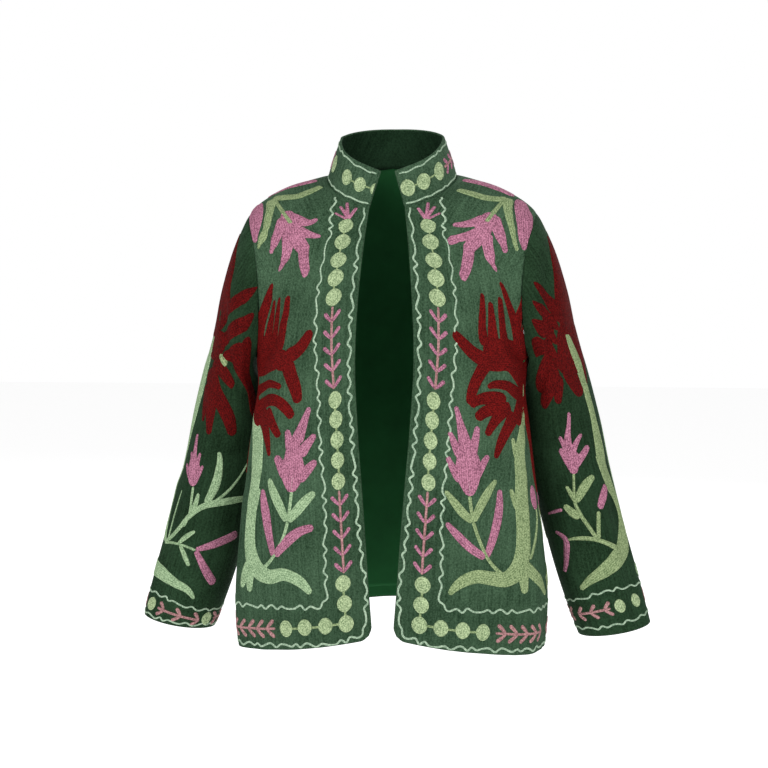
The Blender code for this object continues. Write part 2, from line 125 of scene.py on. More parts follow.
# The armhole runs up its front to the shoulder and on down its back, with a row beyond each end
ARMHOLE = [
    Edge(9.8, 0.186, 0.024, -0.243, 116, 0, 1.1),
    UNDERARM,
    Edge(12.2, 0.1865, -0.023, -0.243, 62, 0, 1.1),
    Edge(14.5, 0.181, -0.045, -0.200, 42, 0, 1.0),
    Edge(17.5, 0.180, -0.060, -0.145, 28, -16, 1.0),
    Edge(20.0, 0.186, -0.054, -0.095, 20, -34, 0.9),
    Edge(22.3, 0.196, -0.026, -0.061, 10, -46, 0.8),
    SHOULDER_TIP,
    Edge(25.7, 0.196, 0.036, -0.061, -6, -46, 0.8),
    Edge(28.0, 0.187, 0.061, -0.095, -16, -34, 0.9),
    Edge(30.5, 0.180, 0.071, -0.145, -26, -16, 1.0),
    Edge(33.5, 0.180, 0.054, -0.200, -42, 0, 1.0),
    Edge(35.8, 0.186, 0.024, -0.243, -64, 0, 1.1),
    UNDERARM._replace(row=2 * SHOULDER_ROW - UNDERARM_ROW, turn=UNDERARM.turn - 180),
    Edge(38.2, 0.1865, -0.023, -0.243, -118, 0, 1.1),
]

# %% Sizes of the sleeve and the collar
# A ring of the sleeve has a point on its upper line, one on its lower line, and half its depth
Ring = namedtuple("Ring", "at outer_x outer_z inner_x inner_z middle_y half_depth")
SLEEVE = [
    Ring(0.0, 0.1990, -0.050, 0.1900, -0.250, 0.005, 0.066),
    Ring(1.2, 0.2185, -0.090, 0.1950, -0.262, 0.010, 0.068),
    Ring(3.0, 0.2395, -0.153, 0.1955, -0.285, 0.020, 0.068),
    Ring(4.7, 0.2540, -0.215, 0.1930, -0.312, 0.030, 0.067),
    Ring(6.1, 0.2695, -0.265, 0.1910, -0.341, 0.037, 0.065),
    Ring(7.8, 0.2855, -0.325, 0.1915, -0.376, 0.043, 0.064),
    Ring(9.9, 0.3015, -0.400, 0.1965, -0.425, 0.048, 0.062),
    Ring(12.1, 0.3220, -0.480, 0.2135, -0.500, 0.050, 0.058),
    Ring(14.2, 0.3440, -0.557, 0.2355, -0.574, 0.046, 0.054),
    Ring(16.0, 0.3620, -0.623, 0.2605, -0.641, 0.040, 0.050),
]
ARMHOLE_FADE = 4.0
Stand = namedtuple("Stand", "share height lean")
COLLAR = [
    Stand(0.00, 0.046, 0.012),
    Stand(0.25, 0.050, 0.016),
    Stand(0.60, 0.052, 0.017),
    Stand(1.00, 0.052, 0.006),
]
COLLAR_ROWS = 14
COLLAR_FRONT_SLANT = 0.011  # how much nearer to the middle the collar's front edges come at the rim
COLLAR_SLANT_SHARE = 0.3  # how far round the collar that slant dies out
COLLAR_TUCK = 0.003  # how far down the collar's inner face is tucked at the neck seam

# %% Soft folds that the solids already have
# Two ends as row and share of the way across, half the fold's width, and its height outwards
Fold = namedtuple("Fold", "row0 across0 row1 across1 half_width height")
FOLDS = {
    "front_left": [
        Fold(16.5, 0.80, 9.0, 0.62, 0.016, 0.0035),
        Fold(15.0, 0.95, 8.5, 0.84, 0.015, -0.0035),
        Fold(5.0, 0.86, 0.0, 0.80, 0.020, 0.0045),
        Fold(6.0, 0.60, 0.0, 0.50, 0.022, -0.0030),
    ],
    "front_right": [
        Fold(16.0, 0.86, 8.0, 0.74, 0.016, -0.0035),
        Fold(14.0, 0.66, 8.0, 0.56, 0.018, 0.0030),
        Fold(5.5, 0.84, 0.0, 0.88, 0.020, 0.0045),
        Fold(5.0, 0.62, 0.0, 0.58, 0.022, -0.0030),
    ],
    "back_left": [
        Fold(17.0, 0.84, 9.0, 0.66, 0.018, 0.0045),
        Fold(14.0, 0.92, 7.0, 0.80, 0.016, -0.0040),
        Fold(9.0, 0.36, 0.0, 0.42, 0.024, -0.0055),
        Fold(8.0, 0.64, 0.0, 0.70, 0.022, 0.0055),
        Fold(5.0, 0.86, 0.0, 0.90, 0.016, -0.0040),
    ],
    "back_right": [
        Fold(17.5, 0.80, 9.5, 0.70, 0.018, 0.0040),
        Fold(13.5, 0.93, 7.5, 0.82, 0.016, -0.0045),
        Fold(10.0, 0.32, 0.0, 0.30, 0.024, 0.0050),
        Fold(8.5, 0.58, 0.0, 0.62, 0.022, -0.0055),
        Fold(6.0, 0.82, 0.0, 0.84, 0.018, 0.0045),
    ],
    "sleeve_left": [
        Fold(1.5, 0.12, 4.6, 0.34, 0.016, -0.0045),
        Fold(3.0, 0.40, 7.0, 0.22, 0.018, 0.0040),
        Fold(7.0, 0.44, 9.5, 0.20, 0.016, -0.0040),
        Fold(10.0, 0.06, 15.5, 0.12, 0.016, -0.0035),
        Fold(2.0, 0.84, 6.0, 0.66, 0.018, -0.0045),
        Fold(8.0, 0.60, 11.0, 0.84, 0.018, 0.0040),
    ],
    "sleeve_right": [
        Fold(3.2, 0.14, 4.8, 0.30, 0.015, -0.0050),
        Fold(4.4, 0.34, 6.6, 0.18, 0.016, 0.0040),
        Fold(8.0, 0.42, 10.2, 0.16, 0.016, -0.0040),
        Fold(11.0, 0.04, 15.5, 0.08, 0.016, 0.0035),
        Fold(2.4, 0.82, 6.4, 0.68, 0.018, -0.0045),
        Fold(8.6, 0.62, 11.6, 0.86, 0.018, 0.0040),
    ],
}
ROW_PITCH = 0.034
PANEL_WIDTH = 0.240
SLEEVE_GIRTH = 0.400
FADE_SHARE = 0.15
FADE_ROWS = 3.0
FADE_RINGS = 2.0
FRONT_NECK_FADE = 2
print("folds in the solids:", sum(len(folds) for folds in FOLDS.values()))

# %% [markdown]
# ## Small creases
# Velvet creases where an arm hangs: short pulls point into the armhole, the sleeve breaks at the elbow, and
# the hem falls in shallow flutes. A simulation could make creases, but not these ones, so each is listed in
# the same terms as the big folds. The hidden sides get the same kinds of crease as the front. The last one
# of each sleeve is broad: it is the fullness under the arm, which leaves no gap beside the body.

# %% Creases listed one by one
CREASES = {
    "front_left": [
        Fold(20.5, 0.86, 14.0, 0.80, 0.0060, -0.0012),
        Fold(19.0, 0.74, 13.5, 0.70, 0.0080, 0.0010),
        Fold(13.2, 0.96, 10.8, 0.80, 0.0060, -0.0012),
        Fold(3.5, 0.72, 0.0, 0.70, 0.0090, 0.0014),
        Fold(2.8, 0.34, 0.0, 0.36, 0.0090, -0.0008),
    ],
    "front_right": [
        Fold(20.8, 0.84, 13.0, 0.76, 0.0060, -0.0014),
        Fold(20.0, 0.76, 14.0, 0.70, 0.0060, 0.0010),
        Fold(18.5, 0.70, 14.5, 0.66, 0.0070, -0.0010),
        Fold(3.2, 0.70, 0.0, 0.73, 0.0090, -0.0012),
        Fold(3.0, 0.30, 0.0, 0.28, 0.0100, 0.0008),
    ],
    "back_left": [
        Fold(20.0, 0.80, 15.0, 0.66, 0.0080, -0.0014),
        Fold(13.0, 0.95, 10.5, 0.76, 0.0060, -0.0014),
        Fold(12.0, 0.50, 8.5, 0.34, 0.0100, 0.0012),
        Fold(4.0, 0.22, 0.0, 0.20, 0.0100, 0.0016),
        Fold(4.5, 0.54, 0.0, 0.56, 0.0100, -0.0016),
    ],
    "back_right": [
        Fold(19.5, 0.82, 14.5, 0.68, 0.0080, -0.0014),
        Fold(13.2, 0.94, 10.0, 0.74, 0.0060, -0.0014),
        Fold(12.5, 0.44, 9.0, 0.30, 0.0100, 0.0012),
        Fold(4.4, 0.46, 0.0, 0.44, 0.0100, 0.0016),
        Fold(3.8, 0.16, 0.0, 0.14, 0.0100, -0.0014),
    ],
    "sleeve_left": [
        Fold(1.2, 0.20, 3.2, 0.30, 0.0055, 0.0016),
        Fold(2.2, 0.36, 3.4, 0.30, 0.0050, -0.0018),
        Fold(5.6, 0.40, 7.2, 0.26, 0.0060, -0.0014),
        Fold(8.6, 0.36, 9.6, 0.22, 0.0055, 0.0012),
        Fold(11.4, 0.16, 15.0, 0.22, 0.0060, 0.0012),
        Fold(12.6, 0.30, 15.6, 0.28, 0.0070, -0.0010),
        Fold(1.4, 0.80, 3.0, 0.70, 0.0060, -0.0016),
        Fold(6.0, 0.60, 7.8, 0.76, 0.0060, 0.0014),
        Fold(11.0, 0.70, 15.0, 0.74, 0.0080, -0.0012),
        Fold(2.2, 0.50, 9.0, 0.50, 0.0360, 0.0125),
    ],
    "sleeve_right": [
        Fold(1.0, 0.16, 3.6, 0.32, 0.0050, -0.0018),
        Fold(1.6, 0.24, 3.0, 0.34, 0.0050, 0.0012),
        Fold(5.8, 0.38, 7.0, 0.24, 0.0060, -0.0014),
        Fold(9.2, 0.34, 10.0, 0.20, 0.0055, 0.0012),
        Fold(11.8, 0.20, 15.2, 0.18, 0.0070, -0.0012),
        Fold(1.6, 0.82, 3.4, 0.70, 0.0060, -0.0016),
        Fold(6.4, 0.62, 8.0, 0.78, 0.0060, 0.0014),
        Fold(11.5, 0.76, 15.0, 0.72, 0.0080, 0.0012),
        Fold(3.0, 0.50, 9.2, 0.50, 0.0330, 0.0090),
    ],
}
print("small creases:", sum(len(creases) for creases in CREASES.values()))

# %% [markdown]
# ## From tables to cloth
# The next functions are the cutter's rules. A curve runs smoothly through each table, a row of cloth swings
# from one edge to the other at its own heading, and a sleeve's rings grow out of the armhole. Because they
# take any row, whole or in between, the same rules that gave a few hundred points give fine cloth here.

# %% Smooth curves through the tables
def smooth(share):
    share = np.clip(share, 0.0, 1.0)
    return share * share * (3.0 - 2.0 * share)


def unit(ways):
    return ways / np.linalg.norm(ways, axis=-1, keepdims=True)


def run_along(line):
    """The distance along a line of points, from its first point to each of them."""
    return np.concatenate([[0.0], np.cumsum(np.linalg.norm(np.diff(line, axis=0), axis=1))])


def curve_between(share, begin, leaving, end, arriving):
    """A curve from begin to end that sets out along leaving and comes in along arriving."""
    return (
        (2 * share**3 - 3 * share**2 + 1) * begin
        + (share**3 - 2 * share**2 + share) * leaving
        + (3 * share**2 - 2 * share**3) * end
        + (share**3 - share**2) * arriving
    )


def read_curve(table, at):
    """A table's rows at any place, read along a smooth curve. Its first column says where each row is."""
    known = np.array(table, float)
    places = known[:, 0]
    slopes = np.gradient(known, places, axis=0, edge_order=min(2, len(known) - 1))
    at = np.clip(np.asarray(at, float), places[0], places[-1])
    low = np.clip(np.searchsorted(places, at, side="right") - 1, 0, len(places) - 2)
    step = (places[low + 1] - places[low])[:, None]
    share = (at - places[low])[:, None] / step
    return curve_between(share, known[low], step * slopes[low], known[low + 1], step * slopes[low + 1])


def read_edge(lower, upper, rows, down=False):
    """An edge of the body along its lower table and then its upper one, backwards where that runs down."""
    corner = lower[-1].row
    below = read_curve(lower, rows[rows <= corner])
    rest = rows[rows > corner]
    above = read_curve(upper, 2 * SHOULDER_ROW - rest if down else rest)
    return [Edge(*edge) for edge in np.concatenate([below, above])]


def turned(edges):
    return [edge._replace(turn=edge.turn - 180, climb=-edge.climb) for edge in edges]


def heading(edge):
    turn, climb = np.radians(edge.turn), np.radians(edge.climb)
    return np.array([math.cos(turn) * math.cos(climb), math.sin(turn) * math.cos(climb), math.sin(climb)])

# %% A row of cloth, and the way out of it
def cloth_row(start, finish, columns):
    begin, end = [np.array([edge.x, edge.y, edge.z]) for edge in (start, finish)]
    length = np.linalg.norm(end - begin)
    leaving = heading(start) * start.pull * length
    arriving = heading(finish) * finish.pull * length
    curve = curve_between(np.linspace(0.0, 1.0, ROW_SAMPLES)[:, None], begin, leaving, end, arriving)
    run = run_along(curve)
    stops = np.linspace(0.0, run[-1], columns + 1)
    return np.stack([np.interp(stops, run, curve[:, axis]) for axis in range(3)], axis=1)


def grid_normals(grid, closed, outward):
    if closed:
        across = np.roll(grid, -1, axis=1) - np.roll(grid, 1, axis=1)
    else:
        across = np.gradient(grid, axis=1)
    return unit(np.cross(across, np.gradient(grid, axis=0)) * outward)


def fold_heights(folds, rows, shares, width, closed):
    """How far the folds lift the cloth outwards, at each row and share of the way across."""
    row, share = np.meshgrid(rows, shares, indexing="ij")
    total = np.zeros_like(row)
    for fold in folds:
        offset = share - fold.across0
        if closed:
            offset = (offset + 0.5) % 1.0 - 0.5
        run = np.array([(fold.row1 - fold.row0) * ROW_PITCH, (fold.across1 - fold.across0) * width])
        length = np.linalg.norm(run)
        run /= length
        place = (row - fold.row0) * ROW_PITCH * run[0] + offset * width * run[1]
        aside = (row - fold.row0) * ROW_PITCH * run[1] - offset * width * run[0]
        beyond = np.clip(np.abs(place - length / 2) - length / 2, 0.0, None)
        ends = np.exp(-((beyond / fold.half_width) ** 2))
        total += fold.height * ends * np.exp(-((aside / fold.half_width) ** 2))
    return total

# %% [markdown]
# ## Fine grids
# Each solid has a point every 20 to 30 mm. Velvet needs one every 3 to 5 mm, so that creases and stitches
# have something to follow. We step through the same rows and columns in smaller steps. Where two panels
# meet, the cloth dips a little, as it does over a pressed seam.

# %% Grids of the body, the sleeves and the collar
ROW_STEPS = 7
COLUMN_STEPS = 6
PANEL_COLUMNS = 14 * COLUMN_STEPS
ROWS = np.arange(SHOULDER_ROW * ROW_STEPS + 1) / ROW_STEPS
CREASE_FADE = 0.05
SEAM_DIP = 0.0012
SEAM_REACH = 0.0050


def body_grid(starts, ends, name, free_inner_rows):
    """A front or half a back, and how far its folds and creases lift it. They die out where it is sewn."""
    grid = np.array([cloth_row(start, end, PANEL_COLUMNS) for start, end in zip(starts, ends)])
    shares = np.linspace(0.0, 1.0, PANEL_COLUMNS + 1)
    row, share = np.meshgrid(ROWS, shares, indexing="ij")
    at_inner = np.maximum(smooth(share / FADE_SHARE), smooth(free_inner_rows - row))
    fade = smooth((1.0 - share) / FADE_SHARE) * smooth((SHOULDER_ROW - row) / FADE_ROWS) * at_inner
    lift = fold_heights(FOLDS[name], ROWS, shares, PANEL_WIDTH, False) * fade
    near_seam = smooth((1.0 - share) / CREASE_FADE) * smooth(SHOULDER_ROW - row)
    lift += fold_heights(CREASES[name], ROWS, shares, PANEL_WIDTH, False) * near_seam
    return grid, lift


def armhole_points(front, back):
    start = UNDERARM_ROW * ROW_STEPS
    return np.concatenate([front[start:, -1][::-1], back[start:, -1][1:-1]])


def sleeve_grid(hole, name):
    """Rings of a sleeve from the armhole down, and how far its folds and creases lift it."""
    rings = np.arange(SLEEVE_RINGS * ROW_STEPS + 1) / ROW_STEPS
    shares = np.arange(len(hole)) / len(hole)
    angle = 2.0 * math.pi * shares
    grid = []
    for _, outer_x, outer_z, inner_x, inner_z, middle_y, half_depth in read_curve(SLEEVE, rings):
        middle = np.array([(outer_x + inner_x) / 2, middle_y, (outer_z + inner_z) / 2])
        up = np.array([outer_x - inner_x, 0.0, outer_z - inner_z]) / 2
        forward = np.array([0.0, -half_depth, 0.0])
        grid.append(middle + np.outer(np.cos(angle), up) + np.outer(np.sin(angle), forward))
    grid = np.array(grid)
    grid += (1.0 - smooth(rings / ARMHOLE_FADE))[:, None, None] * (hole - grid[0])
    fade = smooth(rings / FADE_RINGS)[:, None]
    lift = fold_heights(FOLDS[name], rings, shares, SLEEVE_GIRTH, True) * fade
    lift += fold_heights(CREASES[name], rings, shares, SLEEVE_GIRTH, True) * smooth(rings)[:, None]
    return grid, lift


def collar_grid(front, back):
    """Rows of the collar from the neck seam up, each from the front edge to the middle of the back."""
    front_neck = front[FRONT_NECK_ROW * ROW_STEPS:, 0]
    back_neck = back[BACK_NECK_ROW * ROW_STEPS:, 0]
    seam = np.concatenate([front_neck, back_neck[::-1][1:]])
    run = run_along(seam)
    shares = run / run[-1]
    _, height, lean = read_curve(COLLAR, shares).T
    along = np.gradient(seam, axis=0)
    inward = unit(np.stack([-along[:, 1], along[:, 0], np.zeros(len(seam))], axis=1))
    inward[-1] = (0.0, -1.0, 0.0)
    slant = COLLAR_FRONT_SLANT * (1.0 - smooth(shares / COLLAR_SLANT_SHARE))
    rows = []
    for share in np.linspace(0.0, 1.0, COLLAR_ROWS + 1):
        row = seam + inward * (lean * share)[:, None]
        row[:, 2] += height * share
        row[:, 0] -= slant * share
        rows.append(row)
    return np.array(rows)

# %% [markdown]
# ## Distances over the cloth
# An embroiderer draws on flat cloth, in distances from an edge and from the hem. To draw the same way on a
# curved panel we measure both distances at every point of its grid, and then look places up backwards: a
# distance across and a distance up give back a point in space. A chart is one panel with that lookup.

# %% A chart of one panel
LOOKUPS = 14
ON_PANEL = 0.0008  # how near a lookup has to come to the place asked for
LEAST_LENGTH = 1e-6  # stands in for a length of nought where one is divided by it
LEAST_SIZE = 1e-9  # the same for what a lookup divides its steps by


class Chart:
    """Knows how far across and up the flat cloth each point of a panel lies, and finds places from that."""

    def __init__(self, points, normals, straight_rows, across_start=None):
        self.points = points
        self.normals = normals
        steps = np.linalg.norm(np.diff(points, axis=1), axis=2)
        self.across = np.concatenate([np.zeros((len(points), 1)), np.cumsum(steps, axis=1)], axis=1)
        moves = np.diff(points, axis=0)
        ways = unit(np.gradient(points, axis=1))
        slip = np.sum(moves * (ways[1:] + ways[:-1]) / 2, axis=2)
        rise = np.sqrt(np.maximum(np.sum(moves**2, axis=2) - slip**2, LEAST_LENGTH**2))
        self.up = np.concatenate([np.zeros((1, points.shape[1])), np.cumsum(rise, axis=0)])
        if across_start is None:
            shift = np.concatenate([[0.0], np.cumsum(slip[:, 0])])
            shift = np.where(np.arange(len(points)) > straight_rows, shift - shift[straight_rows], 0.0)
        else:
            shift = across_start
        self.across += shift[:, None]
        self.slopes = [np.gradient(field, axis=axis) for field in (self.across, self.up) for axis in (0, 1)]

    def read(self, field, row, column):
        """A value between points of the grid, weighed by how near it is to the four around it."""
        rows, columns = field.shape[:2]
        low_row = np.clip(row.astype(int), 0, rows - 2)
        low_column = np.clip(column.astype(int), 0, columns - 2)
        past_row, past_column = row - low_row, column - low_column
        if field.ndim == 3:
            past_row, past_column = past_row[:, None], past_column[:, None]
        return (
            field[low_row, low_column] * (1 - past_row) * (1 - past_column)
            + field[low_row + 1, low_column] * past_row * (1 - past_column)
            + field[low_row, low_column + 1] * (1 - past_row) * past_column
            + field[low_row + 1, low_column + 1] * past_row * past_column
        )

    def find(self, across, up):
        """The row and column at given distances, found by steps along the slopes of both distances."""
        rows, columns = self.up.shape
        row = np.clip(up / self.up[-1].mean() * rows, 0, rows - 1)
        column = np.full_like(row, (columns - 1) / 2)
        for _ in range(LOOKUPS):
            off_across = across - self.read(self.across, row, column)
            off_up = up - self.read(self.up, row, column)
            slopes = [self.read(slope, row, column) for slope in self.slopes]
            across_row, across_column, up_row, up_column = slopes
            size = across_row * up_column - across_column * up_row
            size = np.where(np.abs(size) < LEAST_SIZE, -LEAST_SIZE, size)
            row = np.clip(row + (off_across * up_column - off_up * across_column) / size, 0, rows - 1)
            column = np.clip(column + (off_up * across_row - off_across * up_row) / size, 0, columns - 1)
        miss = np.hypot(across - self.read(self.across, row, column), up - self.read(self.up, row, column))
        return row, column, miss < ON_PANEL

    def place(self, across, up, lift):
        row, column, inside = self.find(across, up)
        normal = unit(self.read(self.normals, row, column))
        return self.read(self.points, row, column) + normal * lift[:, None], normal, inside

# %% The panels of one side
MIRROR = np.array([-1.0, 1.0, 1.0])
OUTWARD = {"front": 1, "back": -1, "sleeve": 1, "collar": 1}
SEAM_BATCH = 24  # how many points of a seam are measured at once
FAR = 1.0  # further than any seam


def dip_seams(points, seams):
    """How far the cloth dips at each point of a grid, from its distance to the nearest seam."""
    flat = points.reshape(-1, 3)
    nearest = np.full(len(flat), FAR)
    for seam in seams:
        for start in range(0, len(seam), SEAM_BATCH):
            part = seam[start:start + SEAM_BATCH]
            gap = np.linalg.norm(flat[:, None, :] - part[None, :, :], axis=2).min(axis=1)
            nearest = np.minimum(nearest, gap)
    return -SEAM_DIP * np.exp(-((nearest / SEAM_REACH) ** 2)).reshape(points.shape[:2])


def make_side(side):
    """The points and normals of each panel on one side, and which way its grid faces."""
    front_edge = read_edge(FRONT_EDGE, FRONT_NECK, ROWS)
    front_side = read_edge(SIDE_SEAM, ARMHOLE, ROWS)
    centre_back = read_edge(CENTRE_BACK, BACK_NECK, ROWS)
    back_side = read_edge(turned(SIDE_SEAM), ARMHOLE, ROWS, down=True)
    front = body_grid(front_edge, front_side, "front_" + side, FRONT_NECK_ROW - FRONT_NECK_FADE)
    back = body_grid(centre_back, back_side, "back_" + side, 0)
    sleeve = sleeve_grid(armhole_points(front[0], back[0]), "sleeve_" + side)
    collar = collar_grid(front[0], back[0])
    grids = {"front": front, "back": back, "sleeve": sleeve, "collar": (collar, np.zeros(collar.shape[:2]))}
    seams = {
        "front": [front[0][:, -1], front[0][-1], collar[0]],
        "back": [back[0][:, -1], back[0][-1], collar[0]],
        "sleeve": [sleeve[0][0]],
        "collar": [collar[0]],
    }
    # The halves of the back and of the collar meet in the middle, where nothing may stray to one side
    middles = {"back": (slice(BACK_NECK_ROW * ROW_STEPS + 1), 0), "collar": (slice(None), -1)}
    made = {}
    for name, (grid, lift) in grids.items():
        closed = name == "sleeve"
        lift = lift + dip_seams(grid, seams[name])
        facing = OUTWARD[name]
        if side == "right":
            grid, facing = grid * MIRROR, -facing
        points = grid + grid_normals(grid, closed, facing) * lift[:, :, None]
        normals = grid_normals(points, closed, facing)
        if name in middles:
            points[middles[name] + (0,)] = 0.0
            normals[middles[name] + (0,)] = 0.0
        made[name] = points, unit(normals), facing
    return made


cloth = {side: make_side(side) for side in ("left", "right")}
for name, (points, _, _) in cloth["left"].items():
    print(name, "grid", points.shape[:2])

# %% Charts for the embroiderer
SLEEVE_FRONT_SHARE = 0.25
SLEEVE_BACK_SHARE = 0.75


def sleeve_chart(points, normals, share):
    """The sleeve unrolled from the cuff up, with its zero line down the given share of the way round."""
    count = points.shape[1]
    middle = int(round(share * count))
    order = (np.arange(count + 1) + middle - count // 2) % count
    points, normals = points[::-1][:, order], normals[::-1][:, order]
    steps = np.linalg.norm(np.diff(points, axis=1), axis=2)
    return Chart(points, normals, 0, -np.sum(steps[:, :count // 2], axis=1))


charts = {}
for side, panels in cloth.items():
    for name, (points, normals, _) in panels.items():
        label = name + "_" + side
        if name == "sleeve":
            charts[label + "_front"] = sleeve_chart(points, normals, SLEEVE_FRONT_SHARE)
            charts[label + "_back"] = sleeve_chart(points, normals, SLEEVE_BACK_SHARE)
        else:
            neck = {"front": FRONT_NECK_ROW, "back": BACK_NECK_ROW, "collar": 0}[name] * ROW_STEPS
            charts[label] = Chart(points, normals, neck if neck else COLLAR_ROWS)
for label, chart in charts.items():
    print(label, "is", round(chart.across.max(), 3), "m across and", round(chart.up.max(), 3), "m up")

# %% [markdown]
# ## Cloth as a thin shell
# A cut edge of velvet shows how thick it is, so a bare sheet wouldn't do. Each panel gets an outer face and
# an inner face a wall apart. Where an edge is free, the two meet in a turned edge, rounded as it is when it
# is folded over and stitched. Where an edge is sewn, the wall is square, and meets its neighbour's.

# %% Objects from faces
SAME_PLACE = 1e-6


def add_object(name, data):
    thing = bpy.data.objects.new(name, data)
    bpy.context.scene.collection.objects.link(thing)
    return thing


def grid_faces(first, rows, columns):
    """The corners of each face of a grid, whose points are numbered from first, row by row."""
    index = first + np.arange(rows * columns).reshape(rows, columns)
    low, high = index[:-1], index[1:]
    return np.stack([low[:, :-1], low[:, 1:], high[:, 1:], high[:, :-1]], axis=2).reshape(-1, 4)


def make_piece(name, places, faces, slots, materials, map_name, flats):
    """An object with a material for each face and a flat place for each point, welded where they meet."""
    mesh = bpy.data.meshes.new(name)
    mesh.from_pydata(places.tolist(), [], faces.tolist())
    used = [slot for slot in range(len(materials)) if (slots == slot).any()]
    for slot in used:
        mesh.materials.append(materials[slot])
    mesh.polygons.foreach_set("material_index", np.searchsorted(used, slots).astype(np.int32))
    corners = np.zeros(len(mesh.loops), np.int32)
    mesh.loops.foreach_get("vertex_index", corners)
    layer = mesh.uv_layers.new(name=map_name)
    layer.data.foreach_set("uv", flats[corners].astype(np.float32).ravel())
    weld = bmesh.new()
    weld.from_mesh(mesh)
    loose = [vertex for vertex in weld.verts if not vertex.link_faces]
    bmesh.ops.delete(weld, geom=loose, context="VERTS")
    bmesh.ops.remove_doubles(weld, verts=weld.verts, dist=SAME_PLACE)
    weld.to_mesh(mesh)
    weld.free()
    mesh.shade_smooth()
    return add_object(name, mesh)

# %% Shells
RIM_TURNS = 4
SEAM_GAP = 0.0003
CORNER_RADIUS = 0.016
CORNER_ROW = 4  # the row and column that show which way the cloth runs from its low front corner
CORNER_COLUMN = 10
OUTER, INNER = 0, 1


def edge_ways(points):
    """For the first and last row and column, the way in which the cloth would go on past that edge."""
    first_row, last_row = points[0] - points[1], points[-1] - points[-2]
    first_column, last_column = points[:, 0] - points[:, 1], points[:, -1] - points[:, -2]
    ways = {"low": first_row, "high": last_row, "start": first_column, "end": last_column}
    return {name: unit(way) for name, way in ways.items()}


# Each corner of a panel, seen from both its edges: the edge and the place on it, then those of the other
CORNERS = [
    ("low", 0, "start", 0),
    ("low", -1, "end", 0),
    ("high", 0, "start", -1),
    ("high", -1, "end", -1),
    ("start", 0, "low", 0),
    ("start", -1, "high", 0),
    ("end", 0, "low", -1),
    ("end", -1, "high", -1),
]


class Shell:
    """Gathers the walls of one piece of cloth, with a place on the flat cloth for each point."""

    def __init__(self, name):
        self.name = name
        self.places, self.flats, self.faces, self.slots = [], [], [], []

    def add_grid(self, points, flats, facing, slot):
        quads = grid_faces(sum(len(part) for part in self.places), *points.shape[:2])
        self.places.append(points.reshape(-1, 3))
        self.flats.append(flats.reshape(-1, 2))
        self.faces.append(quads if facing > 0 else quads[:, ::-1])
        self.slots.append(np.full(len(quads), slot))

    def add_edge(self, outer, inner, flats, way, facing):
        """The wall along one edge, rounded outwards by half its thickness where a way out is given."""
        turns = np.linspace(0.0, math.pi, RIM_TURNS + 2 if way is not None else 2)
        middle, half = (outer + inner) / 2, (outer - inner) / 2
        bulge = np.zeros_like(half) if way is None else way * np.linalg.norm(half, axis=1, keepdims=True)
        rows = [middle + half * math.cos(turn) + bulge * math.sin(turn) for turn in turns]
        self.add_grid(np.array(rows), np.repeat(flats[None], len(rows), axis=0), facing, OUTER)

    def build(self, materials):
        parts = [np.concatenate(part) for part in (self.places, self.faces, self.slots)]
        return make_piece(self.name, *parts, materials, "Cloth", np.concatenate(self.flats))


def rounded_corner(points, across, up):
    """The grid with its low front corner drawn in to a quarter circle."""
    near_edge = np.clip(1.0 - across / CORNER_RADIUS, 0.0, 1.0)
    near_hem = np.clip(1.0 - up / CORNER_RADIUS, 0.0, 1.0)
    inwards = unit(points[0, CORNER_COLUMN] - points[0, 0])
    upwards = unit(points[CORNER_ROW, 0] - points[0, 0])
    move_in = near_edge * (1.0 - np.sqrt(1.0 - near_hem**2 / 2)) * CORNER_RADIUS
    move_up = near_hem * (1.0 - np.sqrt(1.0 - near_edge**2 / 2)) * CORNER_RADIUS
    return points + move_in[..., None] * inwards + move_up[..., None] * upwards


def add_panel(shell, points, normals, facing, flats, wall, free, sewn, split=0, tuck=0.0):
    """Both faces of a panel and its edges. Past the row split, the start edge is called start_above."""
    inner = points - normals * wall
    inner[0, :, 2] -= tuck
    ways = edge_ways(points)
    for way in ways.values():
        way[[0, -1]] = 0.0
    for edge, place, neighbour, end in CORNERS:
        if edge in free and neighbour not in sewn:
            way = edge_ways(points)[edge][place]
            if neighbour in free:
                way = way + edge_ways(points)[neighbour][end]
            ways[edge][place] = unit(way)
    shell.add_grid(points, flats, facing, OUTER)
    shell.add_grid(inner, flats, -facing, INNER)
    whole = slice(None)
    edges = [
        ("low", (0, whole), -facing),
        ("high", (-1, whole), facing),
        ("end", (whole, -1), -facing),
        ("start", (slice(0, split + 1) if split else whole, 0), facing),
    ]
    if split:
        edges.append(("start_above", (slice(split, None), 0), facing))
        ways["start"][split] = 0.0
    for edge, part, side in edges:
        if edge in free or edge in sewn:
            way = ways[edge][:len(points[part])] if edge in free else None
            shell.add_edge(points[part], inner[part], flats[part], way, side)
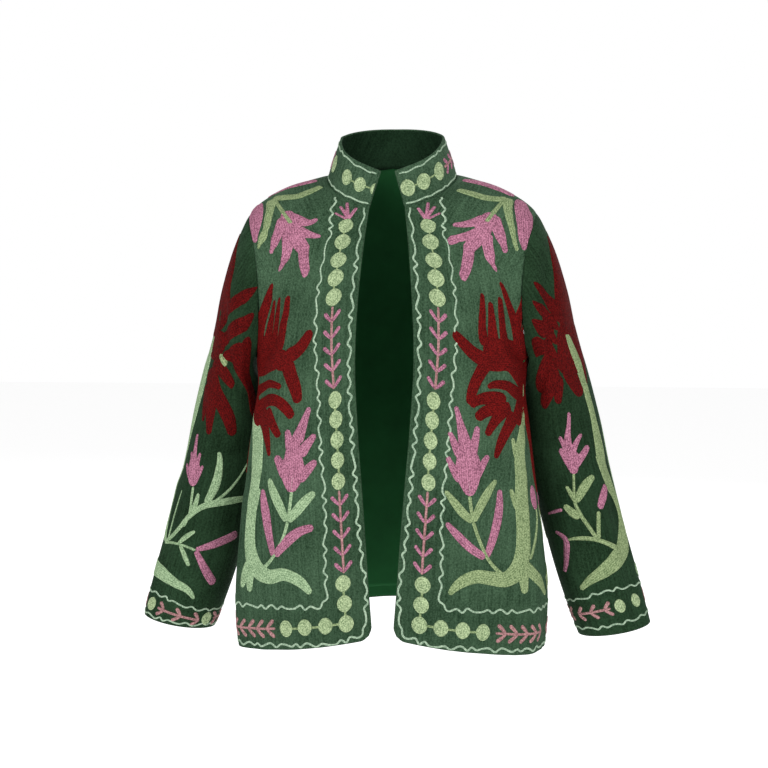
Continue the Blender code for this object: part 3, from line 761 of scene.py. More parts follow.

# %% [markdown]
# ## Velvet and lining
# Velvet is made by weaving loops and cutting them, so it ends in short upright hairs. They drink light when
# seen end on and shine where the cloth turns away, which is what the sheen of a shader does. The sleeves
# and the collar's inner face get darker colours, as painted shade. Painted light makes the fronts and the
# back lighter towards the shoulders, and a sleeve darkest in its middle. Fine streaks run down the cloth.
# The border of the fronts is a little darker. The lining is plain and matt.

# %% Materials of the cloth
FRONT_VELVET = ((0.005, 0.018, 0.007, 1.0), (0.064, 0.122, 0.069, 1.0))
BACK_VELVET = ((0.005, 0.018, 0.007, 1.0), (0.056, 0.110, 0.061, 1.0))
# Painted shade: the sleeves get a darker velvet than the fronts, for the shade they hang in
SLEEVE_VELVET_SHADED = ((0.002, 0.008, 0.002, 1.0), (0.028, 0.066, 0.032, 1.0))
COLLAR_VELVET = ((0.006, 0.022, 0.009, 1.0), (0.076, 0.136, 0.080, 1.0))
# Painted shade: the collar's inner face gets a darker velvet, for the shade it lies in
COLLAR_INSIDE_SHADED = ((0.002, 0.009, 0.003, 1.0), (0.016, 0.042, 0.020, 1.0))
LINING_GREEN = (0.0072, 0.054, 0.0150, 1.0)
LINING_LIGHTER = 1.8
SHEEN_GREEN = (0.30, 0.62, 0.40, 1.0)
WHITE = (1.0, 1.0, 1.0, 1.0)
BORDER_WIDTH = 0.058
BORDER_BLUR = 0.008
BORDER_SHADE = 0.85
SHINE = 0.06
STREAK_SIZES = (330.0, 16.0, 1.0)
STREAK_RELIEF = 0.5  # how deep the streaks are beside the pile
# How much of the velvet's lightness comes from its broad patches, its pile and its streaks
PATCH_SHARE, PILE_SHARE, STREAK_SHARE = 0.22, 0.44, 0.26
# Painted light: between two heights up the flat cloth, the cloth's lightness changes by this share of it
Zone = namedtuple("Zone", "low high change")
BODY_LIGHT_ZONES = [Zone(0.10, 0.34, 0.15), Zone(0.50, 0.64, 0.1)]
SLEEVE_LIGHT_ZONES = [Zone(0.05, 0.20, -0.25), Zone(0.44, 0.56, 0.5)]


def new_material(name, roughness, sheen=0.0, sheen_roughness=0.4, sheen_tint=WHITE):
    material = bpy.data.materials.new(name)
    material.use_nodes = True
    shader = next(node for node in material.node_tree.nodes if node.type == "BSDF_PRINCIPLED")
    shader.inputs["Roughness"].default_value = roughness
    shader.inputs["Specular IOR Level"].default_value = SHINE
    shader.inputs["Sheen Weight"].default_value = sheen
    shader.inputs["Sheen Roughness"].default_value = sheen_roughness
    shader.inputs["Sheen Tint"].default_value = sheen_tint
    return material, shader


class Nodes:
    """Short ways to add and join the nodes of one material."""

    def __init__(self, material):
        self.tree = material.node_tree

    def add(self, kind, **settings):
        node = self.tree.nodes.new(kind)
        for name, value in settings.items():
            setattr(node, name, value)
        return node

    def join(self, source, target):
        if isinstance(source, (int, float, tuple)):
            target.default_value = source
        else:
            self.tree.links.new(source, target)

    def math(self, operation, *values, clamp=False):
        node = self.add("ShaderNodeMath", operation=operation, use_clamp=clamp)
        for value, target in zip(values, node.inputs):
            self.join(value, target)
        return node.outputs[0]

    def weighed(self, *parts, clamp=False):
        """The sum of some values, each times its own weight, and at most one where clamp is set."""
        total, *products = [self.math("MULTIPLY", value, weight) for value, weight in parts]
        for product in products:
            total = self.math("ADD", total, product, clamp=clamp)
        return total

    def noise(self, where, scale, detail=2.0, roughness=0.5):
        node = self.add("ShaderNodeTexNoise")
        self.join(where, node.inputs["Vector"])
        node.inputs["Scale"].default_value = scale
        node.inputs["Detail"].default_value = detail
        node.inputs["Roughness"].default_value = roughness
        return node.outputs[0]

    def scaled(self, where, sizes):
        node = self.add("ShaderNodeVectorMath", operation="MULTIPLY")
        self.join(where, node.inputs[0])
        self.join(sizes, node.inputs[1])
        return node.outputs[0]

    def parted(self, place):
        """The first two numbers of a place."""
        node = self.add("ShaderNodeSeparateXYZ")
        self.join(place, node.inputs[0])
        return node.outputs[0], node.outputs[1]

    def between(self, value, low, high):
        """Nought below low, one above high, and smooth in between."""
        node = self.add("ShaderNodeMapRange", interpolation_type="SMOOTHSTEP")
        self.join(value, node.inputs["Value"])
        self.join(low, node.inputs["From Min"])
        self.join(high, node.inputs["From Max"])
        return node.outputs["Result"]

    def mix(self, share, first, second):
        """A colour between two others. The colours of a mix node are its seventh and eighth inputs."""
        node = self.add("ShaderNodeMix", data_type="RGBA")
        self.join(share, node.inputs[0])
        self.join(first, node.inputs[6])
        self.join(second, node.inputs[7])
        return node.outputs[2]

    def bump(self, height, shader, distance, strength):
        node = self.add("ShaderNodeBump")
        node.inputs["Distance"].default_value = distance
        node.inputs["Strength"].default_value = strength
        self.join(height, node.inputs["Height"])
        self.join(node.outputs["Normal"], shader.inputs["Normal"])


def velvet(name, colours, light_zones=(), border=False):
    material, shader = new_material(
        name, roughness=0.9, sheen=0.06, sheen_roughness=0.35, sheen_tint=SHEEN_GREEN
    )
    make = Nodes(material)
    where = make.add("ShaderNodeTexCoord").outputs["Object"]
    flat = make.add("ShaderNodeUVMap", uv_map="Cloth").outputs["UV"]
    patches = make.noise(where, scale=16.0, detail=3.0, roughness=0.55)
    patches = make.between(patches, low=0.30, high=0.70)
    pile = make.between(make.noise(where, scale=430.0, roughness=0.7), low=0.30, high=0.70)
    streaks = make.noise(make.scaled(flat, STREAK_SIZES), scale=1.0, roughness=0.6)
    streaks = make.between(streaks, low=0.28, high=0.72)
    share = make.weighed((patches, PATCH_SHARE), (pile, PILE_SHARE), (streaks, STREAK_SHARE))
    across, up = make.parted(flat)
    # Painted light and shade: the cloth is made lighter or darker between given heights up the flat cloth
    for low, high, change in light_zones:
        step = make.math("MULTIPLY", make.between(up, low, high), change)
        share = make.math("MULTIPLY", share, make.math("ADD", 1.0, step))
    if border:
        inside = make.between(across, BORDER_WIDTH - BORDER_BLUR, BORDER_WIDTH + BORDER_BLUR)
        above = make.between(up, BORDER_WIDTH - BORDER_BLUR, BORDER_WIDTH + BORDER_BLUR)
        plain = make.math("MULTIPLY", inside, above)
        shade = make.math("ADD", BORDER_SHADE, make.math("MULTIPLY", plain, 1.0 - BORDER_SHADE))
        share = make.math("MULTIPLY", share, shade)
    share = make.math("ADD", share, 0.0, clamp=True)
    make.join(make.mix(share, *colours), shader.inputs["Base Color"])
    relief = make.math("ADD", pile, make.math("MULTIPLY", streaks, STREAK_RELIEF))
    make.bump(relief, shader, distance=0.0007, strength=0.5)
    return material


def lining(name, colour):
    material, shader = new_material(name, roughness=0.75, sheen=0.1, sheen_roughness=0.5)
    make = Nodes(material)
    where = make.add("ShaderNodeTexCoord").outputs["Object"]
    patches = make.noise(where, scale=30.0, detail=3.0, roughness=0.6)
    lighter = tuple(part * LINING_LIGHTER for part in colour[:3]) + (1.0,)
    make.join(make.mix(patches, colour, lighter), shader.inputs["Base Color"])
    make.bump(make.noise(where, scale=1500.0), shader, distance=0.0002, strength=0.4)
    return material


front_velvet = velvet("velvet_front", FRONT_VELVET, BODY_LIGHT_ZONES, border=True)
back_velvet = velvet("velvet_back", BACK_VELVET, BODY_LIGHT_ZONES)
sleeve_velvet_shaded = velvet("velvet_sleeve_shaded", SLEEVE_VELVET_SHADED, SLEEVE_LIGHT_ZONES)
collar_velvet = velvet("velvet_collar", COLLAR_VELVET)
# Painted shade on the collar's inner face
collar_inside_shaded = velvet("velvet_collar_inside", COLLAR_INSIDE_SHADED)
lining_cloth = lining("lining", LINING_GREEN)
print("materials:", [material.name for material in bpy.data.materials])

# %% [markdown]
# ## Sewing the panels up
# The back is one piece, so its two halves are welded down the middle, and so is the collar. The fronts,
# sleeves and back stay apart by the width of a thread at their seams, as separate pieces do. The lining of
# the back is a shell of its own, because it is what the open front lets us see.

# %% Shells of every panel
def flat_places(chart, sign=1.0):
    return np.stack([chart.across * sign, chart.up], axis=2)


pieces = {}
for side, panels in cloth.items():
    chart, facing = charts["front_" + side], panels["front"][2]
    shell = Shell("cloth_front_" + side)
    neck = FRONT_NECK_ROW * ROW_STEPS
    free, sewn = {"low", "start"}, {"high", "end", "start_above"}
    rounded = rounded_corner(chart.points, chart.across, chart.up)
    add_panel(shell, rounded, chart.normals, facing, flat_places(chart), WALL, free, sewn, neck)
    pieces["front_" + side] = shell.build([front_velvet, lining_cloth])
    chart, facing = charts["sleeve_" + side + "_front"], -panels["sleeve"][2]
    shell = Shell("cloth_sleeve_" + side)
    add_panel(shell, chart.points, chart.normals, facing, flat_places(chart), WALL, {"low"}, {"high"})
    pieces["sleeve_" + side] = shell.build([sleeve_velvet_shaded, lining_cloth])

back_shell, collar_shell = Shell("cloth_back"), Shell("cloth_collar")
lining_shell = Shell("cloth_lining_back")
neck = BACK_NECK_ROW * ROW_STEPS
for side, sign in (("left", 1.0), ("right", -1.0)):
    chart, facing = charts["back_" + side], cloth[side]["back"][2]
    flats = flat_places(chart, sign)
    sewn = {"high", "end", "start_above"}
    add_panel(back_shell, chart.points, chart.normals, facing, flats, WALL, {"low"}, sewn, neck)
    inside = chart.points - chart.normals * (WALL + SEAM_GAP)
    shift = (inside[ROW_STEPS] - inside[0]) * LINING_HEM
    fade = 1.0 - smooth(np.arange(len(inside)) / (LINING_HEM_ROWS * ROW_STEPS))
    inside = inside + fade[:, None, None] * shift
    sewn = {"low", "high", "end", "start_above"}
    add_panel(lining_shell, inside, chart.normals, facing, flats, LINING_WALL, set(), sewn, neck)
    chart, facing = charts["collar_" + side], cloth[side]["collar"][2]
    flats, free, sewn = flat_places(chart, sign), {"high", "start"}, {"low"}
    points, normals = chart.points, chart.normals
    add_panel(collar_shell, points, normals, facing, flats, COLLAR_WALL, free, sewn, tuck=COLLAR_TUCK)
pieces["back"] = back_shell.build([back_velvet, lining_cloth])
pieces["collar"] = collar_shell.build([collar_velvet, collar_inside_shaded])
pieces["lining_back"] = lining_shell.build([lining_cloth, lining_cloth])
for name, piece in pieces.items():
    print(name, "has", 2 * len(piece.data.polygons), "triangles")

# %% [markdown]
# ## Chain stitch
# The flowers are drawn on the velvet with a hooked needle that pulls up loop after loop, so a line is a fine
# braid and a filled leaf is many braids side by side. From a distance that reads as a grainy, slightly
# raised ribbon. We colour it by distance along and across each line, in rows and loops, with painted shade
# between the loops and a painted highlight on them, and speckle it.

# %% Materials of the threads
STITCH_ROW = 0.0030
STITCH_LENGTH = 0.0040
ROW_SHIFT = 0.37  # how far along its neighbour each row of loops starts, in loops
ROW_ROUND = 3.4  # how round a row is across
LOOP_FLOOR = 0.4  # how high the thread lies between its loops, as a share of its height on them
# How much of the thread's lightness comes from its loops (painted shade and highlight), its speckles and its
# slow drift
LOOP_SHARE, SPECKLE_SHARE, DRIFT_SHARE = 0.36, 0.56, 0.10
THREADS = {
    "mint": ((0.110, 0.190, 0.125, 1.0), (0.440, 0.560, 0.410, 1.0)),
    "pale": ((0.070, 0.125, 0.052, 1.0), (0.480, 0.590, 0.335, 1.0)),
    "leaf": ((0.055, 0.100, 0.035, 1.0), (0.335, 0.420, 0.215, 1.0)),
    # Painted light: the next thread is a lighter copy of the leaf thread, for the right side, where the
    # light is brighter
    "leaf_lit": ((0.070, 0.135, 0.062, 1.0), (0.390, 0.530, 0.315, 1.0)),
    "pink": ((0.080, 0.022, 0.042, 1.0), (0.530, 0.220, 0.320, 1.0)),
    "blush": ((0.120, 0.050, 0.052, 1.0), (0.500, 0.270, 0.270, 1.0)),
    "red": ((0.016, 0.0005, 0.0005, 1.0), (0.165, 0.0062, 0.0054, 1.0)),
    "wine": ((0.010, 0.0004, 0.0004, 1.0), (0.125, 0.0044, 0.0038, 1.0)),
}


def stitched(name, dark, light):
    """Thread with painted shade between its loops and a painted highlight on top, with speckles and a slow
    drift of tone.
    """
    material, shader = new_material(name, roughness=0.8, sheen=0.05, sheen_tint=light)
    make = Nodes(material)
    along, across = make.parted(make.add("ShaderNodeUVMap", uv_map="Stitches").outputs["UV"])
    row = make.math("DIVIDE", across, STITCH_ROW)
    aside = make.math("ABSOLUTE", make.math("SUBTRACT", make.math("FRACT", row), 0.5))
    shift = make.math("MULTIPLY", make.math("FLOOR", row), ROW_SHIFT)
    loop = make.math("ADD", make.math("DIVIDE", along, STITCH_LENGTH), make.math("ADD", aside, shift))
    swell = make.math("SINE", make.math("MULTIPLY", make.math("FRACT", loop), math.pi))
    fall = make.math("MULTIPLY", make.math("MULTIPLY", aside, aside), ROW_ROUND)
    ridge = make.math("SUBTRACT", 1.0, fall)
    loops = make.math("ADD", make.math("MULTIPLY", swell, 1.0 - LOOP_FLOOR), LOOP_FLOOR)
    height = make.math("MULTIPLY", ridge, loops)
    where = make.add("ShaderNodeTexCoord").outputs["Object"]
    speckle = make.between(make.noise(where, scale=480.0, roughness=0.6), low=0.36, high=0.64)
    drift = make.between(make.noise(where, scale=60.0), low=0.30, high=0.70)
    share = make.weighed((height, LOOP_SHARE), (speckle, SPECKLE_SHARE), (drift, DRIFT_SHARE), clamp=True)
    make.join(make.mix(share, dark, light), shader.inputs["Base Color"])
    make.bump(height, shader, distance=0.0007, strength=0.8)
    return material


threads = {name: stitched("thread_" + name, dark, light) for name, (dark, light) in THREADS.items()}
THREAD_NAMES = list(threads)
print("threads:", THREAD_NAMES)

# %% [markdown]
# ## Raised lines on a chart
# A line of stitches is a ribbon: a path over the flat cloth, with a width at each of its points. We bend the
# path smoothly, give it rounded ends and a domed section about a millimetre high, and let the chart lay
# it on the curved panel. Its rims sink just under the pile, as thread does.

# %% Ribbons, waves and discs
# The sizes of waves, links and ferns are in millimetres like the strokes, and the others are in metres
MM = 0.001
PROUD = 0.0008
DISC_PROUD = 0.0010
SUNK = -0.00035
SHOULDER = 0.0012
FINE_STEP = 0.0016
BROAD_STEP = 0.0024
LEAST_STEPS = 4
BROAD = 0.010
FINE_COLUMNS, BROAD_COLUMNS = 5, 9
LAYER = 0.000015
LAYERS = 20
STITCH_OFFSET = 0.0173
WAVE_WIDTH = 3.0
WAVE_LENGTH = 21.0
WAVE_HEIGHT = 2.2
WAVE_FADE = 12.0
# Slow waves make a wavy line uneven: two shift it along, one swells it. Each has its strength and its pace
DRIFT, STRAY, SWELL = (0.9, 0.29), (0.7, 0.61), (0.3, 0.37)
CUFF_WAVE_WIDTH = 2.6
CUFF_WAVE_HEIGHT = 1.6
DISC_RINGS = 6
DISC_SPOKES = 26
DISC_POINT, DISC_POINT_NARROW = 0.09, 6  # how far a disc's points stand out, and how narrow they are
LINK_WIDTH = 3.2
STEM_WIDTH = 3.6
FERN_WIDTH = 5.2
FERN_START, FERN_END = 0.02, 0.82  # where the first and the last pair of a fern's leaves stand on its stem
LEAF_ALONG, LEAF_ASIDE, LEAF_BEND = 0.75, 0.66, 0.03  # the form of such a leaf, in shares of its length
LEAF_FOOT = 0.6  # the width of its foot beside the rest of it


def even(width, path):
    """The points of a line that has the same width all along."""
    return [(width, *place) for place in path]


def lay_path(points, step):
    """Points a short step apart along a smooth curve: the run, the width, and the place across and up."""
    points = np.array(points, float) * MM
    run = run_along(points[:, 1:])
    count = max(LEAST_STEPS, int(round(run[-1] / step)))
    return read_curve(np.column_stack([run, points]), np.linspace(0.0, run[-1], count + 1))


def sideways(line):
    ways = unit(np.gradient(line, axis=0))
    return np.stack([-ways[:, 1], ways[:, 0]], axis=1)


def dome(from_rim, top):
    """The height of a rounded section: sunk at its rim, and at its top a shoulder's width further in."""
    rise = np.sqrt(1.0 - (1.0 - np.clip(from_rim / SHOULDER, 0.0, 1.0)) ** 2)
    return SUNK + (top - SUNK) * rise


class Needlework:
    """The embroidery of one chart, gathered as grids of places on the flat cloth."""

    def __init__(self, chart, base=0.0):
        self.chart = chart
        self.base = base
        self.count = 0
        self.flats, self.lifts, self.stitches, self.faces, self.slots = [], [], [], [], []

    def add_grid(self, flats, lifts, stitches, thread):
        quads = grid_faces(sum(len(part) for part in self.lifts), *lifts.shape)
        self.flats.append(flats.reshape(-1, 2))
        self.lifts.append(lifts.ravel() + self.base + LAYER * (self.count % LAYERS))
        self.stitches.append(stitches.reshape(-1, 2) + self.count * STITCH_OFFSET)
        self.faces.append(quads)
        self.slots.append(np.full(len(quads), THREAD_NAMES.index(thread)))
        self.count += 1

    def line(self, thread, points, wave=0.0):
        """A ribbon along points that each give its width and its place across and up, in millimetres."""
        broad = max(point[0] for point in points) * MM > BROAD
        _, width, across, up = lay_path(points, BROAD_STEP if broad else FINE_STEP).T
        centre = np.stack([across, up], axis=1)
        run = run_along(centre)
        if wave:
            turns = 2.0 * math.pi * run / (WAVE_LENGTH * MM)
            uneven = DRIFT[0] * np.sin(turns * DRIFT[1] + self.count) + STRAY[0] * np.sin(turns * STRAY[1])
            swing = wave * (1.0 + SWELL[0] * np.sin(turns * SWELL[1]))
            swing = swing * smooth(np.minimum(run, run[-1] - run) / (WAVE_FADE * MM))
            centre = centre + sideways(centre) * (swing * MM * np.sin(turns + uneven))[:, None]
        half = width / 2
        for ending, size in ((run, width[0] / 2), (run[-1] - run, width[-1] / 2)):
            half = half * np.sqrt(1.0 - (1.0 - np.clip(ending / max(size, LEAST_LENGTH), 0.0, 1.0)) ** 2)
        columns = BROAD_COLUMNS if broad else FINE_COLUMNS
        offset = half[:, None] * np.sin(np.linspace(-0.5, 0.5, columns) * math.pi)
        flats = centre[:, None, :] + sideways(centre)[:, None, :] * offset[:, :, None]
        stitches = np.stack([np.repeat(run[:, None], columns, axis=1), offset], axis=2)
        self.add_grid(flats, dome(half[:, None] - np.abs(offset), PROUD), stitches, thread)

    def disc(self, thread, across, up, radius, tall=1.0):
        """A round patch, slightly pointed at its top and bottom."""
        turns = np.linspace(0.0, 2.0 * math.pi, DISC_SPOKES + 1)
        shares = np.sin(np.linspace(0.0, 0.5, DISC_RINGS + 1) * math.pi)
        size = radius * MM * (1.0 + DISC_POINT * np.abs(np.cos(turns)) ** DISC_POINT_NARROW)
        reach = shares[:, None] * size
        places = [across * MM + reach * np.sin(turns), up * MM + reach * np.cos(turns) * tall]
        stitches = np.stack([reach * turns, reach], axis=2)
        self.add_grid(np.stack(places, axis=2), dome(size - reach, DISC_PROUD), stitches, thread)

    def fern(self, base, tip, pairs, thread="pink", length=18.0):
        """A stem with pairs of leaves that lean towards its tip."""
        base, tip = np.array(base, float), np.array(tip, float)
        way = unit(tip - base)
        side = np.array([-way[1], way[0]])
        self.line("blush", even(STEM_WIDTH, [base, (base + tip) / 2, tip]))
        for share in np.linspace(FERN_START, FERN_END, pairs):
            start = base + (tip - base) * share
            for hand in (1.0, -1.0):
                end = start + way * length * LEAF_ALONG + side * hand * length * LEAF_ASIDE
                middle = (start + end) / 2 + side * hand * length * LEAF_BEND
                foot = (FERN_WIDTH * LEAF_FOOT, *start)
                self.line(thread, [foot, (FERN_WIDTH, *middle), (FERN_WIDTH, *end)])

    def strokes(self, table):
        for thread, points in table:
            self.line(thread, points)

    def build(self, name):
        """The piece, without the faces that lie off the panel, and with every face turned outwards."""
        flats, lifts = np.concatenate(self.flats), np.concatenate(self.lifts)
        faces, slots = np.concatenate(self.faces), np.concatenate(self.slots)
        places, normals, inside = self.chart.place(flats[:, 0], flats[:, 1], lifts)
        kept = inside[faces].any(axis=1)
        faces, slots = faces[kept], slots[kept]
        corners = places[faces]
        facing = np.cross(corners[:, 2] - corners[:, 0], corners[:, 3] - corners[:, 1])
        wrong = np.sum(facing * normals[faces[:, 0]], axis=1) < 0.0
        faces[wrong] = faces[wrong][:, ::-1]
        materials = [threads[thread] for thread in THREAD_NAMES]
        return make_piece(name, places, faces, slots, materials, "Stitches", np.concatenate(self.stitches))

# %% [markdown]
# ## The drawing
# The embroiderer keeps a list of strokes for every panel: the thread, and for each point of the line its
# width and its distances from the front edge and from the hem, in millimetres. The flowers are a lily at
# the shoulder, a big red blossom with hooked petals at the chest, a tulip over its leaves, and a trunk that
# rises from the hem by the side seam. Both fronts have the same flowers, each drawn afresh.

# %% Strokes of the fronts
# Each stroke is a thread and a list of points, as (width, across, up)
RIGHT_FLOWERS = {
    "shoulder": [
        ("pink", [(8, 51, 663), (13, 76, 656), (12, 104, 652), (7, 127, 645)]),
        ("leaf", [(9, 46, 640), (12, 64, 626), (13, 84, 617), (14, 103, 622), (14, 119, 627)]),
        ("leaf", [(20, 119, 628), (13, 127, 598), (11, 139, 576), (8, 152, 560), (3, 165, 546)]),
        ("pink", [(10, 139, 635), (27, 149, 605), (18, 156, 581), (6, 164, 557)]),
    ],
    "lily": [
        ("pink", [(16, 104, 582), (18, 90, 564), (9, 79, 560), (5, 69, 565)]),
        ("pink", [(22, 104, 555), (15, 93, 544), (10, 85, 538), (5, 76, 534)]),
        ("pink", [(22, 106, 572), (23, 108, 541), (19, 105, 518), (16, 98, 504), (12, 88, 491)]),
        ("pink", [(19, 110, 562), (17, 120, 541), (13, 130, 527), (10, 140, 517), (5, 148, 509)]),
        ("pink", [(18, 110, 578), (15, 125, 560), (11, 139, 547), (4, 152, 537)]),
        ("pink", [(12, 105, 590), (26, 105, 569), (22, 109, 550)]),
        ("leaf", [(6, 114, 620), (7, 109, 590), (9, 104, 564)]),
    ],
    "blossom": [
        ("red", [(46, 198, 406), (48, 176, 405), (46, 148, 404), (34, 120, 400)]),
        ("red", [(30, 199, 384), (30, 168, 389), (30, 138, 392), (26, 112, 394)]),
        ("red", [(14, 195, 378), (14, 161, 384), (12, 124, 383)]),
        ("red", [(32, 128, 396), (30, 115, 391), (26, 105, 377)]),
        ("red", [(6, 179, 468), (10, 180, 445), (14, 182, 416)]),
        ("red", [(5, 154, 499), (13, 158, 480), (21, 166, 459), (28, 177, 437), (30, 182, 414)]),
        ("red", [(4, 147, 477), (8, 149, 456), (11, 154, 437), (14, 161, 414)]),
        ("red", [(5, 137, 477), (10, 138, 455), (14, 141, 434), (20, 148, 412)]),
        ("red", [(8, 120, 474), (13, 118, 446), (20, 122, 421), (28, 128, 402)]),
        ("red", [(13, 67, 425), (19, 76, 410), (21, 89, 400), (24, 110, 396)]),
        ("red", [(24, 112, 402), (22, 99, 371), (19, 88, 346), (13, 84, 329)]),
        ("red", [(18, 190, 346), (14, 168, 358), (11, 138, 361), (8, 113, 354)]),
        ("red", [(26, 174, 327), (19, 147, 338), (16, 119, 336), (15, 103, 324), (12, 93, 310)]),
        ("red", [(22, 143, 326), (15, 125, 304), (9, 113, 286)]),
        ("red", [(30, 162, 328), (20, 143, 301), (12, 135, 279), (5, 133, 261)]),
        ("red", [(18, 194, 410), (16, 196, 376), (22, 191, 346), (24, 176, 326), (14, 159, 305)]),
        ("red", [(9, 204, 332), (10, 207, 302), (8, 206, 270), (3, 203, 238)]),
    ],
    "tulip": [
        ("pink", [(7, 66, 322), (10, 71, 311), (14, 77, 298), (22, 88, 275)]),
        ("pink", [(7, 101, 296), (13, 98, 279), (18, 95, 264)]),
        ("pink", [(7, 58, 284), (13, 70, 273), (18, 84, 258)]),
        ("pink", [(9, 121, 262), (16, 113, 247), (20, 104, 230)]),
        ("pink", [(8, 59, 249), (14, 72, 239), (19, 89, 226)]),
        ("pink", [(18, 91, 280), (28, 93, 258), (38, 96, 238), (27, 98, 223), (9, 99, 210)]),
        ("mint", [(2, 95, 233), (3, 97, 224), (4, 99, 212)]),
        ("leaf_lit", [(5, 99, 212), (5, 102, 196), (5, 106, 178)]),
        ("leaf_lit", [(6, 135, 232), (14, 128, 211), (14, 118, 190), (8, 109, 172)]),
        ("leaf_lit", [(8, 64, 207), (14, 79, 197), (14, 95, 183), (9, 108, 172)]),
        ("leaf_lit", [(5, 108, 172), (5, 115, 154), (5, 129, 133), (6, 156, 109)]),
        ("pink", [(6, 148, 218), (14, 147, 194), (14, 143, 162), (8, 135, 126)]),
        ("pink", [(9, 69, 160), (13, 90, 157), (15, 111, 145), (9, 132, 126)]),
    ],
    "trunk": [
        ("leaf_lit", [
            (4, 192, 350), (11, 189, 328), (18, 174, 308), (28, 162, 284), (26, 160, 253), (21, 166, 222),
            (19, 172, 191), (20, 177, 162), (23, 178, 138), (26, 169, 112), (21, 147, 99), (17, 117, 101),
            (15, 94, 90), (8, 79, 72),
        ]),
        ("leaf_lit", [(5, 154, 219), (9, 162, 202), (13, 173, 182)]),
        ("leaf_lit", [(19, 178, 112), (14, 181, 94), (8, 181, 77)]),
        ("leaf_lit", [(20, 176, 118), (15, 190, 99), (6, 197, 82)]),
    ],
}
